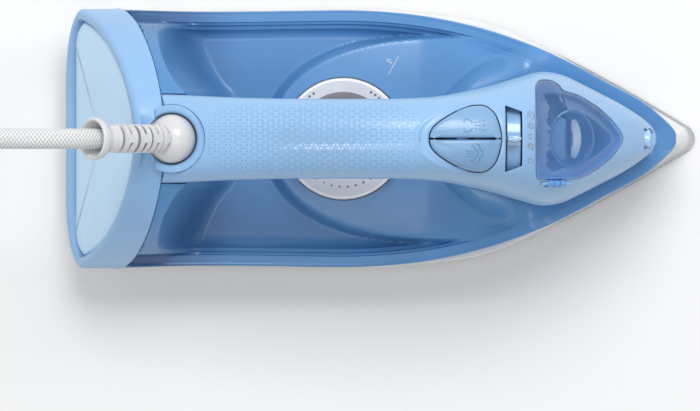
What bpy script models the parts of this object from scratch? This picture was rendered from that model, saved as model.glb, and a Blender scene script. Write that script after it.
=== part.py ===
"""A steam iron with a water tank, a filling door, two push buttons, a steam lever, a temperature dial
and a mains lead on a ball joint. Run it in Blender 4.5: blender --background --python part.py

The iron stands on its soleplate. +X is its pointed front, +Z is up, and the origin lies on the surface
that it stands on, under the middle of its length. Sizes are written in millimetres and turned into
metres where each mesh is made.
"""

import math

import bmesh
import bpy
from mathutils import Matrix, Vector

MM = 0.001
GAP = 0.35  # between pieces that touch
WALL = 2.4  # of the plastic mouldings

# Plan of the sole, the heat shield and the body
SOLE_TIP = 152.5
SOLE_REAR = -141.0
SOLE_THICK = 2.2
SHIELD_TIP = 151.0
SHIELD_REAR = -143.0
SHIELD_TOP = 18.6
BODY_BASE = 19.0
BODY_TIP = 141.6  # at the height BODY_TIP_AT, moving back with height
BODY_TIP_AT = 22.0
BODY_RAKE = 0.1
BODY_WIDEST = -20.0
POCKET_LEVEL = 41.0  # floor of the hollow behind the dial
DOME_LEVEL = 56.0  # top of the tank, where the dial sits
RIM_WIDTH = 5.0

# Heel: an arch that leans forward
HEEL_HALF = 62.5
HEEL_SPRING = 30.0  # where the arch starts to curve in
HEEL_TOP = 116.5
HEEL_ROUND = 1.75
HEEL_BASE = 19.0
HEEL_REAR = -153.5
HEEL_LEAN = 0.42
HEEL_FRONT = -124.0
HEEL_FRONT_LEAN = 0.315
HEEL_FRONT_AT = 39.0

# Controls
DIAL = Vector((-18.9, 0.0, 0.0))
DIAL_RADIUS = 29.0
DIAL_CAP_RADIUS = 21.8
DIAL_SEAT = 52.0
BUTTON_TRAVEL = 4.0
PUMP_X = 40.5
PUMP_Y = 7.6
LEVER_X = (54.0, 61.0)
LEVER_AXIS_Z = 114.0
LEVER_RADIUS = 19.5
NEEDLE_X = 57.5

# Filling door, on a slope that falls towards the front
DOOR_X = (69.3, 109.2)
DOOR_THICK = 2.0
DOOR_SLOPE = math.radians(34.0)
HINGE_Y = -20.2
HINGE_RADIUS = 1.7
FILLER = Vector((84.8, 0.0, 116.4))
FILLER_RADIUS = 12.2

# Ball joint and lead
BALL = Vector((-96.6, 0.0, 118.0))
BALL_RADIUS = 11.0
GUARD_RISE = math.radians(44.0)
GUARD_RADIUS = 6.3
GUARD_MOUTH = 9.45
GUARD_LENGTH = 46.5
COLLAR_RADIUS = 15.3
COLLAR_TILT = math.radians(19.0)
SOCKET_RADIUS = 11.35
CORD_RADIUS = 4.5
COIL_CENTRE = (-256.0, 0.0)
COIL_INNER = 33.2
COIL_OUTER = 61.8
COIL_LEVELS = (1.6, 20.6)
PLUG_AT = Vector((-340.0, -44.0, 18.7))
PLUG_RADIUS = 18.5
PIN_APART = 19.0


# ---------------------------------------------------------------- shape maths


def smooth(t):
    """0 below 0, 1 above 1, and an even curve between."""
    t = min(1.0, max(0.0, t))
    return t * t * (3.0 - 2.0 * t)


def curve(points):
    """A smooth function through the points, flat beyond its ends (cubic Hermite, tangents from neighbours)."""
    xs = [p[0] for p in points]
    ys = [p[1] for p in points]
    slopes = []
    for i in range(len(points)):
        a, b = max(0, i - 1), min(len(points) - 1, i + 1)
        slopes.append((ys[b] - ys[a]) / (xs[b] - xs[a]))

    def at(x):
        x = min(xs[-1], max(xs[0], x))
        i = max(k for k in range(len(xs) - 1) if xs[k] <= x)
        width = xs[i + 1] - xs[i]
        t = (x - xs[i]) / width
        h0 = (1 + 2 * t) * (1 - t) ** 2
        h1 = t * (1 - t) ** 2
        h2 = t * t * (3 - 2 * t)
        h3 = t * t * (t - 1)
        return h0 * ys[i] + h1 * width * slopes[i] + h2 * ys[i + 1] + h3 * width * slopes[i + 1]

    return at


def taper(x, start, tip, fullness, sharpness):
    """1 behind start, falling to 0 at tip: the plan of one side of an iron."""
    t = min(1.0, max(0.0, (x - start) / (tip - start)))
    return (1.0 - t**fullness) ** sharpness


outline = curve([
    (-143, 61.3), (-85, 62.0), (-20, 62.8), (3.7, 62.6), (38.7, 59.0), (56.7, 54.9), (70.8, 49.2), (87.4, 41.1),
    (116.9, 25.0), (125.7, 20.0), (134.4, 14.8), (143.2, 9.6), (148.9, 6.1), (152.5, 3.9),
])


def tipped(side, tip, x):
    """A side that ends in a round tip of 7 mm radius."""
    left = max(0.0, tip - x)
    return min(side, math.sqrt(left * (14.0 - left))) if left < 3.8 else side


def sole_half(x):
    side = outline(x) - 1.6 * (1.0 - smooth((x - 60.0) / 50.0))
    return tipped(side, SOLE_TIP, x)


def shield_half(x, height):
    """The shield leans inwards as it rises to meet the body, most of all at its tip."""
    share = height / SHIELD_TOP
    shift = (SOLE_TIP - SHIELD_TIP + 7.0 * share) * smooth((x - 20.0) / 100.0)
    return tipped(outline(x + shift) - 0.9 * share, SHIELD_TIP - 7.0 * share, x)


body_width = curve([(-130, 62.2), (-85, 61.1), (-20, 61.9)])


def body_tip(z):
    return BODY_TIP - BODY_RAKE * (z - BODY_TIP_AT)


def body_half(x, z):
    lean = 1.0 - 0.0006 * max(0.0, z - 25.0)
    return max(0.4, body_width(x) * lean * taper(x, BODY_WIDEST, body_tip(z), 2.2, 0.89))


def arch_height(y, inset=0.0):
    """Outer height of the heel's arch at y, or of a line inset from it."""
    share = min(1.0, abs(y) / (HEEL_HALF - inset))
    rise = HEEL_TOP - HEEL_SPRING - inset
    return HEEL_SPRING + rise * (1.0 - share**HEEL_ROUND) ** (1.0 / HEEL_ROUND)


def heel_rear(z):
    return HEEL_REAR + HEEL_LEAN * (z - HEEL_BASE)


def heel_front(z):
    return HEEL_FRONT + HEEL_FRONT_LEAN * (z - HEEL_FRONT_AT)


# The handle and nose, seen from above and from the side
handle_half = curve([
    (-112, 21.5), (-97, 20.3), (-61, 18.5), (-16, 18.0), (20, 18.8), (43, 23.0), (62, 28.4),
    (72.4, 31.0), (82, 29.8), (91, 25.9), (101, 21.0), (111, 16.0), (121, 9.8), (126, 5.4), (128, 1.6),
])
handle_top_z = curve([
    (-112, 113), (-97, 120), (-83, 126), (-60, 132), (-38, 136.5), (-16, 140), (7, 143), (24, 144.5),
    (40, 144), (52, 141), (62, 136.5), (72, 130), (85, 120.6), (101, 108), (112, 96.5), (121, 83),
    (126, 73), (128, 66),
])
parting_z = curve([
    (-112, 97), (-97, 105), (-60, 116), (-16, 123), (20, 121), (34, 110), (46, 98), (60, 88),
    (76, 80), (100, 71.5), (128, 60),
])
underside_z = curve([(-112, 80), (-97, 90), (-75, 99), (-50, 104.5), (-16, 109), (10, 110.5), (30, 107), (44, 101)])
rim_z = curve([
    (-124, 50), (-85, 49), (-40, 48), (0, 50), (30, 56.5), (50, 65), (66, 74), (76, 75.5),
    (88, 71.5), (100, 66), (113, 59), (126, 52), (140, 46),
])
SECTION = 2.4  # roundness of the handle's cross-section


def handle_surface(x, y):
    """Height of the handle's and nose's upper surface."""
    share = min(1.0, abs(y) / handle_half(x))
    rise = handle_top_z(x) - parting_z(x)
    return parting_z(x) + rise * (1.0 - share**SECTION) ** (1.0 / SECTION)


def handle_floor(x, y):
    """Height of the grip's lower surface."""
    share = min(1.0, abs(y) / handle_half(x))
    fall = parting_z(x) - underside_z(x)
    return parting_z(x) - fall * (1.0 - share**SECTION) ** (1.0 / SECTION)


def plateau_z(x):
    """The top of the tank under the handle and nose."""
    return (underside_z(x) if x < 34.2 else parting_z(x)) - GAP - 0.1


def rear_limit_z(x, margin):
    """The heel leans over the back of the tank, which stops below it."""
    return HEEL_FRONT_AT + (x - HEEL_FRONT) / HEEL_FRONT_LEAN - margin


def tank_edge_z(x):
    """The height of the body's upper edge, which runs down its front to the tip."""
    front = BODY_TIP_AT + (BODY_TIP - x) / BODY_RAKE - 2.0
    return min(rim_z(x), max(BODY_BASE + 1.5, front), rear_limit_z(x, 1.1))


def rim_inner(x):
    """Half-width at the rim's outer edge and at its inner edge, and the width of the fall inside it."""
    outer = body_half(x, tank_edge_z(x))
    inner = outer - min(RIM_WIDTH, 0.3 * outer)
    return outer, inner, min(7.0, 0.6 * inner)


# Where the skin in front of the heel ends and falls into the rear pockets, at each distance from the middle
heel_lip = curve([
    (0, -88.0), (12, -89.0), (21.3, -91.3), (25.5, -95.2), (32.4, -99.8), (40, -103.2), (47, -105.4), (52, -106),
])
HEEL_DROP = 21.0
FINGER_GAP = 2.2


def tank_surface(x, y):
    """Height of the tank's top at station x and distance y from the middle, inside the rim's outer edge."""
    y = abs(y)
    outer, inner, fall = rim_inner(x)
    rim = tank_edge_z(x)
    reach = (max(0.0, 25.0 - x) / 77.7) ** 2.3 + (y / 47.0) ** 2.3
    dome = DOME_LEVEL - 2.5 * min(1.2, reach) + 0.32 * max(0.0, x - 22.0)
    level = POCKET_LEVEL + (dome - POCKET_LEVEL) * smooth((1.16 - reach) / 0.16)
    level += (rim - 0.3 - level) * smooth((y - inner + fall) / fall)
    heel = min(arch_height(y) - 1.5, 84.0 + 0.6 * y)
    drop = min(1.0, max(0.0, (x - heel_lip(y)) / HEEL_DROP))
    level += (max(heel, level) - level) * (1.0 - drop) ** 2.1 * (1.0 - smooth((y - inner + 2.0) / 2.0))
    side = handle_half(x)
    if y < side and x < 0.0:
        level = min(level, handle_floor(x, y) - FINGER_GAP)
    wall = smooth((x - 27.0 - 1.2 * max(0.0, y - side)) / 12.0)
    wall *= 1.0 - smooth((y - side) / 14.0)
    level += (max(plateau_z(x), level) - level) * wall
    if y < side and x > 20.0:
        level = min(level, plateau_z(x))
    if x > 62.0:
        out = max((y - side) / max(0.5, outer - 1.0 - side), (x - 127.0) / 10.0)
        band = plateau_z(x) + (rim - 0.2 - plateau_z(x)) * min(1.0, max(0.0, out))
        level += (band - level) * smooth((x - 62.0) / 12.0)
    return min(level, rear_limit_z(x, 1.1))


def tank_ceiling(x, y):
    """Height of the hollow under the tank's top, kept a wall away from every slope of it."""
    height = tank_surface(x, y) - WALL
    for k in range(8):
        angle = math.tau * k / 8
        near_x = x + WALL * math.cos(angle)
        near_y = min(abs(y + WALL * math.sin(angle)), rim_inner(near_x)[0] - 0.1)
        height = min(height, tank_surface(near_x, near_y) - 0.7)
    if math.hypot(x - DIAL.x, y) < DIAL_RADIUS + 5.0:
        height = min(height, DIAL_SEAT - WALL)
    return max(height, BODY_BASE + 1.0)


# ---------------------------------------------------------------- making meshes


def clear_scene():
    for obj in list(bpy.data.objects):
        bpy.data.objects.remove(obj)


def paint(name, colour, roughness, metallic=0.0):
    material = bpy.data.materials.new(name)
    material.use_nodes = True
    shader = material.node_tree.nodes["Principled BSDF"]
    shader.inputs["Base Color"].default_value = (*colour, 1.0)
    shader.inputs["Roughness"].default_value = roughness
    shader.inputs["Metallic"].default_value = metallic
    return material


PALE_BLUE = paint("pale_blue_plastic", (0.40, 0.60, 0.82), 0.45)
HEEL_BLUE = paint("heel_panel_plastic", (0.48, 0.69, 0.93), 0.5)
TANK_BLUE = paint("tank_blue_plastic", (0.10, 0.25, 0.52), 0.15)
DOOR_BLUE = paint("door_clear_plastic", (0.10, 0.30, 0.72), 0.1)
WHITE = paint("white_plastic", (0.80, 0.80, 0.81), 0.4)
GREY = paint("grey_plastic", (0.24, 0.22, 0.24), 0.5)
STEEL = paint("steel", (0.62, 0.62, 0.64), 0.3, 1.0)
ALUMINIUM = paint("aluminium", (0.70, 0.71, 0.72), 0.4, 1.0)
BRASS = paint("brass", (0.72, 0.55, 0.25), 0.35, 1.0)
RUBBER = paint("silicone", (0.55, 0.56, 0.58), 0.7)
BRAID = paint("cord_braid", (0.72, 0.72, 0.73), 0.8)
LIVE = paint("live_insulation", (0.28, 0.14, 0.07), 0.6)
NEUTRAL = paint("neutral_insulation", (0.10, 0.22, 0.60), 0.6)
EARTH = paint("earth_insulation", (0.30, 0.55, 0.10), 0.6)


def finish(obj, material, smooth_angle=35.0):
    if material is not None:
        obj.data.materials.append(material)
    if smooth_angle:
        obj.data.shade_smooth()
        obj.data.set_sharp_from_angle(angle=math.radians(smooth_angle))
    return obj


def mesh_object(name, points, faces, material):
    """An object from points in millimetres, with its faces turned outwards."""
    mesh = bpy.data.meshes.new(name)
    mesh.from_pydata([Vector(p) * MM for p in points], [], faces)
    shape = bmesh.new()
    shape.from_mesh(mesh)
    bmesh.ops.recalc_face_normals(shape, faces=shape.faces)
    shape.to_mesh(mesh)
    shape.free()
    obj = bpy.data.objects.new(name, mesh)
    bpy.context.scene.collection.objects.link(obj)
    return finish(obj, material)


def loft(name, rings, material):
    """A solid through rings of equally many points, closed at both ends."""
    count = len(rings[0])
    points = [p for ring in rings for p in ring]
    faces = []
    for i in range(len(rings) - 1):
        for k in range(count):
            a, b = i * count + k, i * count + (k + 1) % count
            faces.append((a, b, b + count, a + count))
    faces.append(tuple(range(count)))
    last = (len(rings) - 1) * count
    faces.append(tuple(range(last, last + count)))
    return mesh_object(name, points, faces, material)


def turned(name, profile, material, sides=24, place=None, start=0.0, sweep=math.tau):
    """A solid turned about its own Z. The profile of (radius, height) runs from axis to axis, or is a
    closed ring if it stays off the axis. A sweep under a full turn is closed by its two cut faces."""
    place = place or Matrix.Identity(4)
    full = sweep > math.tau - 1e-6
    steps = sides if full else sides + 1
    points, rows = [], []
    for radius, height in profile:
        row = []
        if radius < 1e-6:
            points.append(place @ Vector((0.0, 0.0, height)))
            row = [len(points) - 1] * steps
        else:
            for k in range(steps):
                angle = start + sweep * k / sides
                points.append(place @ Vector((radius * math.cos(angle), radius * math.sin(angle), height)))
                row.append(len(points) - 1)
        rows.append(row)
    closed = profile[0][0] > 1e-6
    pairs = list(zip(rows, rows[1:] + rows[:1])) if closed else list(zip(rows, rows[1:]))
    faces = []
    for low, high in pairs:
        for k in range(sides):
            j = (k + 1) % steps
            corners = [low[k], low[j], high[j], high[k]]
            face = tuple(dict.fromkeys(corners))
            if len(face) > 2:
                faces.append(face)
    if not full:
        faces.append(tuple(dict.fromkeys(row[0] for row in rows)))
        faces.append(tuple(dict.fromkeys(row[-1] for row in rows)))
    return mesh_object(name, points, faces, material)


def aimed(origin, direction):
    """A placement whose Z points along direction."""
    turn = Vector(direction).to_track_quat("Z", "Y").to_matrix().to_4x4()
    return Matrix.Translation(Vector(origin)) @ turn


def rod(name, start, end, radius, material, sides=16):
    start, end = Vector(start), Vector(end)
    profile = [(0.0, 0.0), (radius, 0.0), (radius, (end - start).length), (0.0, (end - start).length)]
    return turned(name, profile, material, sides, aimed(start, end - start))


def ring(name, centre, direction, inner, outer, thickness, material, sides=24):
    profile = [(inner, 0.0), (outer, 0.0), (outer, thickness), (inner, thickness)]
    return turned(name, profile, material, sides, aimed(centre, direction))


def block(name, low, high, material, bevel=0.0):
    (x0, y0, z0), (x1, y1, z1) = low, high
    base = [(x0, y0), (x1, y0), (x1, y1), (x0, y1)]
    obj = loft(name, [[(x, y, z) for x, y in base] for z in (z0, z1)], material)
    if bevel:
        edge = obj.modifiers.new("edge", "BEVEL")
        edge.width = bevel * MM
        edge.segments = 1
    return obj


def prism(name, outline, low, high, material=None):
    return loft(name, [[(x, y, z) for x, y in outline] for z in (low, high)], material)


def flowing(points, steps):
    """Points along a smooth line through the given ones (Catmull-Rom)."""
    p = [Vector(q) for q in points]
    p = [2 * p[0] - p[1], *p, 2 * p[-1] - p[-2]]
    line = []
    for i in range(1, len(p) - 2):
        for k in range(steps):
            t = k / steps
            line.append(0.5 * (
                2 * p[i] + (p[i + 1] - p[i - 1]) * t
                + (2 * p[i - 1] - 5 * p[i] + 4 * p[i + 1] - p[i + 2]) * t**2
                + (3 * p[i] - p[i - 1] - 3 * p[i + 1] + p[i + 2]) * t**3
            ))
    return [*line, p[-2]]


def tube(name, line, radius, material, sides=8):
    """A round bar along a line, carried from ring to ring without twisting."""
    line = [Vector(p) for p in line]
    along = [(line[min(i + 1, len(line) - 1)] - line[max(i - 1, 0)]).normalized() for i in range(len(line))]
    across = along[0].orthogonal().normalized()
    rings = []
    for point, forward in zip(line, along):
        across = (across - forward * across.dot(forward)).normalized()
        other = forward.cross(across)
        rings.append([
            point + radius * (math.cos(math.tau * k / sides) * across + math.sin(math.tau * k / sides) * other)
            for k in range(sides)
        ])
    return loft(name, rings, material)


def cut(obj, cutter, operation="DIFFERENCE"):
    """A Boolean with a helper that stays in the scene, out of sight."""
    step = obj.modifiers.new(cutter.name, "BOOLEAN")
    step.operation = operation
    step.object = cutter
    step.solver = "EXACT"
    cutter.hide_render = True
    cutter.display_type = "WIRE"
    return obj


def joined(name, pieces):
    """Several closed meshes as one object, for use as a cutter."""
    shape = bmesh.new()
    for piece in pieces:
        shape.from_mesh(piece.data)
        bpy.data.objects.remove(piece)
    mesh = bpy.data.meshes.new(name)
    shape.to_mesh(mesh)
    shape.free()
    obj = bpy.data.objects.new(name, mesh)
    bpy.context.scene.collection.objects.link(obj)
    return obj


def plan(half, rear, front, corner, count=15):
    """The outline of one level of the sole: round rear corners, sides that close at the tip."""
    side = []
    for k in range(4):
        angle = math.pi / 2 * k / 4
        side.append((rear + corner * (1 - math.sin(angle)), half(rear + corner) - corner * (1 - math.cos(angle))))
    side = [(x, y) for x, y in reversed(side)]
    for k in range(count):
        x = rear + corner + (front - rear - corner) * math.sin(math.pi / 2 * (k + 1) / (count + 1)) ** 0.9
        side.append((x, max(0.35, half(x))))
    lower = [(x, -y) for x, y in side]
    return [*lower, (front, 0.0), *reversed(side)]


def panel(name, outline, centre, top, bottom, material, rings=3):
    """A sheet that follows a surface: its outline, filled towards the centre, between two heights."""
    count = len(outline)
    levels = [1.0 - k / rings for k in range(rings)]
    points, faces = [], []
    for height in (top, bottom):
        for level in levels:
            for x, y in outline:
                px, py = centre[0] + (x - centre[0]) * level, centre[1] + (y - centre[1]) * level
                points.append((px, py, height(px, py)))
        points.append((*centre, height(*centre)))
    half = rings * count + 1
    for base in (0, half):
        for i in range(rings - 1):
            for k in range(count):
                a, b = base + i * count + k, base + i * count + (k + 1) % count
                faces.append((a, b, b + count, a + count))
        inner = base + (rings - 1) * count
        for k in range(count):
            faces.append((inner + k, inner + (k + 1) % count, base + half - 1))
    for k in range(count):
        j = (k + 1) % count
        faces.append((k, j, half + j, half + k))
    return mesh_object(name, points, faces, material)


def washer(name, centre, inner, outer, top, bottom, material, sides=24):
    """A flat ring that follows a surface between two heights."""
    points, faces = [], []
    for height, radius in ((top, inner), (top, outer), (bottom, outer), (bottom, inner)):
        for k in range(sides):
            x = centre[0] + radius * math.cos(math.tau * k / sides)
            y = centre[1] + radius * math.sin(math.tau * k / sides)
            points.append((x, y, height(x, y)))
    for i in range(4):
        for k in range(sides):
            j, n = (k + 1) % sides, (i + 1) % 4
            faces.append((i * sides + k, i * sides + j, n * sides + j, n * sides + k))
    return mesh_object(name, points, faces, material)


def well(name, x, y, radius, low, high, sides=12):
    """A cutter for an upright hole."""
    return rod(name, (x, y, low), (x, y, high), radius, None, sides)


# ---------------------------------------------------------------- sole and heater

SOLE_SCREWS = ((96.0, 0.0), (-104.0, 34.0), (-104.0, -34.0))
BOOST_HOSE_AT = (44.0, -11.0)
SUCTION_AT = (42.5, 0.0)


def make_soleplate():
    rings = []
    for height, inset in ((0.0, 1.0), (0.9, 0.0), (SOLE_THICK, 0.0)):
        side = plan(lambda x, i=inset: sole_half(x) - i, SOLE_REAR + inset, SOLE_TIP - inset, 9.0)
        rings.append([(x, y, height) for x, y in side])
    plate = loft("soleplate", rings, STEEL)
    spots = [(112.0, 0.0), (96.0, 16.0), (96.0, -16.0), (72.0, 30.0), (72.0, -30.0), (44.0, 40.0), (44.0, -40.0)]
    spots += [(10.0, 44.0), (10.0, -44.0), (-24.0, 44.0), (-24.0, -44.0)]
    holes = [rod("hole", (x, y, -1.0), (x, y, 4.0), 1.6, None, 8) for x, y in spots]
    cut(plate, joined("cut_steam_holes", holes))


def make_heating_base():
    """A casting with a step round it for the heater and a raised steam chamber, open on top."""
    rings = []
    for height, inset in ((SOLE_THICK + GAP, 5.5), (7.0, 6.0), (7.1, 15.0), (12.4, 16.0)):
        side = plan(lambda x, i=inset: sole_half(x) - i, SOLE_REAR + inset, SOLE_TIP - 2.6 * inset, 7.0)
        rings.append([(x, y, height) for x, y in side])
    base = loft("heating_base", rings, ALUMINIUM)
    floor = plan(lambda x: sole_half(x) - 22.0, -70.0, 84.0, 6.0, 9)
    cut(base, prism("cut_chamber", floor, 5.0, 20.0))
    spots = ((60.0, 6.0), (60.0, -6.0), (0.0, 20.0), (0.0, -20.0))
    cut(base, joined("cut_base_holes", [well("hole", x, y, 1.6, -1.0, 6.0, 8) for x, y in spots]))
    holes = [well("screw", x, y, 1.9, 5.0, 14.0, 8) for x, y in SOLE_SCREWS]
    cut(base, joined("cut_base_screws", holes))
    lid = plan(lambda x: sole_half(x) - 17.5, -110.0, 104.0, 6.0, 11)
    cover = prism("chamber_cover", lid, 12.4 + GAP, 14.0, STEEL)
    holes = [well("spot", NEEDLE_X, 0.0, 2.0, 10.0, 16.0), well("spot", *BOOST_HOSE_AT, 1.6, 10.0, 16.0)]
    holes += [well("spot", x, y, 2.4, 10.0, 16.0) for x, y in SOLE_SCREWS]
    cut(cover, joined("cut_cover", holes))


def make_heater():
    """A tubular heater bent into a U, lying on the casting's step, with its ends turned up."""
    side = [(-130.0, 48.5, 14.0), (-127.0, 48.8, 11.2)]
    side += [(x, sole_half(x) - 10.2, 10.6) for x in (-118, -60, -10, 25, 50, 70, 90, 108)]
    side += [(119.0, 13.2, 10.6), (126.4, 5.6, 10.6)]
    line = side + [(x, -y, z) for x, y, z in reversed(side)]
    tube("heating_element", flowing(line, 2), 3.0, STEEL, 8)
    fuse = rod("thermal_fuse", (-132.0, -7.0, 10.2), (-132.0, 7.0, 10.2), 2.6, WHITE, 10)
    return fuse


def make_thermostat():
    place = Matrix.Translation((DIAL.x, 0.0, 0.0))
    profile = [(0.0, 14.4), (7.6, 14.4), (7.6, 19.5), (4.6, 20.3), (4.6, 22.0), (0.0, 22.0)]
    turned("thermostat", profile, WHITE, 20, place)


def make_heat_shield():
    """The white skirt: a deck over the hot parts with a wall down to the sole."""
    rings = []
    for height in (SOLE_THICK + GAP, 9.0, 15.0, 17.6, SHIELD_TOP):
        inset = 1.0 if height == SHIELD_TOP else 0.0
        front = SHIELD_TIP - 7.0 * height / SHIELD_TOP - inset
        side = plan(lambda x, h=height, i=inset: shield_half(x, h) - i, SHIELD_REAR + inset, front, 11.0, 19)
        rings.append([(x, y, height) for x, y in side])
    shield = loft("heat_shield", rings, WHITE)
    rings = []
    for height in (0.0, 9.0, 16.0):
        front = SHIELD_TIP - 7.0 * height / SHIELD_TOP - 7.0
        side = plan(lambda x, h=height: shield_half(x, h) - 2.4, SHIELD_REAR + 2.4, front, 9.0, 13)
        rings.append([(x, y, height) for x, y in side])
    cut(shield, loft("cut_shield_inside", rings, None))
    holes = [well("spot", DIAL.x, 0.0, 8.4, 14.0, 24.0, 20), well("spot", NEEDLE_X, 0.0, 5.0, 14.0, 24.0)]
    holes += [well("spot", *BOOST_HOSE_AT, 2.4, 14.0, 24.0)]
    holes += [well("spot", x, y, 2.4, 14.0, 24.0, 8) for x, y in SOLE_SCREWS]
    holes += [well("spot", -128.0, 50.0, 3.6, 14.0, 24.0), well("spot", -128.0, -50.0, 3.6, 14.0, 24.0)]
    cut(shield, joined("cut_shield_holes", holes))


def make_screws():
    """They hold the heat shield to the casting."""
    for number, (x, y) in enumerate(SOLE_SCREWS, 1):
        low = 7.6 if number > 1 else 7.0
        profile = [(0.0, low), (1.5, low), (1.5, SHIELD_TOP + GAP)]
        profile += [(3.1, SHIELD_TOP + GAP), (2.6, SHIELD_TOP + 2.2), (0.0, SHIELD_TOP + 2.2)]
        turned(f"sole_screw_{number}", profile, STEEL, 12, Matrix.Translation((x, y, 0.0)))


# ---------------------------------------------------------------- water tank

TANK_STATIONS = [-129, -122, -113, -107, -103, -98, -93, -88, -82, -75, -68, -60, -51, -42, -20, 0, 15, 25, 30, 33.9]
TANK_STATIONS += [34.5, 40, 46, 56, 67, 78, 89, 100, 112, 122, 128, 133, 137, 139.4, 141]


def tank_ring(x, inset, ceiling):
    """One section of the tank, or of its hollow, from the lower edge round over the top."""
    edge = tank_edge_z(x) - 1.6 * inset
    base = BODY_BASE - inset
    left = [(x, -max(0.2, body_half(x, base + (edge - base) * t) - inset), base + (edge - base) * t) for t in (0, 0.5, 1)]
    outer, inner, fall = rim_inner(x)
    reach = max(0.1, outer - inset)
    inner = min(inner, 0.9 * reach)
    steps = [reach - 0.04 * outer, inner, inner - 0.5 * fall, inner - fall]
    steps += [(inner - fall) * t for t in (0.8, 0.6, 0.4, 0.2)]
    top = [(x, -y, ceiling(x, y)) for y in steps]
    middle = (x, 0.0, ceiling(x, 0.0))
    right = [(x, -y, z) for _, y, z in reversed(left + top)]
    return [*left, *top, middle, *right]


def make_tank():
    shell = loft("tank_shell", [tank_ring(x, 0.0, tank_surface) for x in TANK_STATIONS], TANK_BLUE)
    inside = [x for x in TANK_STATIONS if -114 < x < 123]
    cut(shell, loft("cut_tank_inside", [tank_ring(x, 2.4, tank_ceiling) for x in inside], None))
    cut(shell, well("cut_dial_seat", DIAL.x, 0.0, DIAL_RADIUS + 0.5, DIAL_SEAT, 80.0, 40))
    holes = [
        well("spot", DIAL.x, 0.0, 3.8, 40.0, 60.0, 14),
        well("spot", NEEDLE_X, 0.0, 2.2, 75.0, 95.0),
        well("spot", *BOOST_HOSE_AT, 2.4, 90.0, 110.0),
        well("spot", *SUCTION_AT, 2.4, 90.0, 110.0),
        well("spot", FILLER.x, 0.0, 10.2, 60.0, 90.0, 24),
    ]
    cut(shell, joined("cut_tank_holes", holes))
    side = plan(lambda x: body_half(x, 19.0) - 4.2, -112.4, 119.0, 5.0, 13)
    bottom = prism("tank_bottom", side, BODY_BASE - 0.05, BODY_BASE + 3.0, TANK_BLUE)
    low, high = BODY_BASE - 3.0, BODY_BASE + 6.0
    holes = [well("spot", DIAL.x, 0.0, 5.2, low, high, 16), well("spot", NEEDLE_X, 0.0, 3.4, low, high)]
    holes += [well("spot", *BOOST_HOSE_AT, 2.4, low, high)]
    holes += [well("spot", x, y, 3.6, low, 21.3) for x, y in SOLE_SCREWS]
    cut(bottom, joined("cut_tank_bottom", holes))
    cut(bottom, well("cut_tank_bottom_step", DIAL.x, 0.0, 8.2, low, 20.8, 16))
    low, high = BODY_BASE + 3.0 + GAP, DIAL_SEAT - WALL - GAP
    profile = [(4.0, low), (6.0, low), (6.0, high), (4.0, high)]
    turned("spindle_sleeve", profile, WHITE, 16, Matrix.Translation((DIAL.x, 0.0, 0.0)))


# ---------------------------------------------------------------- temperature dial


def make_dial():
    """A ribbed dial, a cap on it, and the spindle that turns the thermostat."""
    low, high = DIAL_SEAT + GAP, DIAL_SEAT + 10.0
    points, count = [], 96
    for height, ease in ((low, 0.0), (high - 1.6, 0.0), (high, 1.1)):
        for k in range(count):
            radius = DIAL_RADIUS - ease - (0.45 if k % 2 else 0.0)
            points.append((radius * math.cos(math.tau * k / count), radius * math.sin(math.tau * k / count), height))
    rings = [points[i * count:(i + 1) * count] for i in range(3)]
    dial = loft("temperature_dial", rings, WHITE)
    pieces = [rod("cap", (0, 0, high - 1.4), (0, 0, high + 2), DIAL_CAP_RADIUS + 0.3, None, 32)]
    pieces += [rod("shaft", (0, 0, low - 2), (0, 0, high - 3.4), 3.0, None, 12)]
    cut(dial, joined("cut_dial", pieces))
    cap = rod("dial_cap", (0, 0, high - 1.4 + GAP), (0, 0, high + 0.2), DIAL_CAP_RADIUS, GREY, 32)
    stem = rod("dial_spindle", (0, 0, 22.0 + GAP), (0, 0, high - 3.4 - GAP), 2.6, STEEL, 12)
    for obj in (dial, bpy.data.objects["cut_dial"], cap, stem):
        obj.location = DIAL * MM


# ---------------------------------------------------------------- heel


def heel_ring(plane, offset, inset):
    """The arch's outline on one of its two leaning planes."""
    side = []
    for k in range(17):
        angle = math.pi * k / 16
        c, s = math.cos(angle), math.sin(angle)
        y = math.copysign(abs(c) ** (2.0 / HEEL_ROUND), c) * (HEEL_HALF - inset)
        z = HEEL_SPRING + abs(s) ** (2.0 / HEEL_ROUND) * (HEEL_TOP - HEEL_SPRING - inset)
        side.append((y, z))
    low = HEEL_BASE + inset
    side = [(HEEL_HALF - inset, low), *side, (-(HEEL_HALF - inset), low)]
    return [(plane(z) + offset, y, z) for y, z in side]


def collar_cutter(name, radius, low):
    """The round seam between the socket and the handle."""
    return rod(name, (BALL.x, 0, low), (BALL.x, 0, 150), radius, None, 32)


def heel_zone(name):
    """Everything behind the heel's front face, with the gap."""
    corners = [(-170, 10), (-170, 160), (heel_front(160) + GAP, 160), (heel_front(10) + GAP, 10)]
    return loft(name, [[(x, y, z) for x, z in corners] for y in (-80.0, 80.0)], None)


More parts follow.
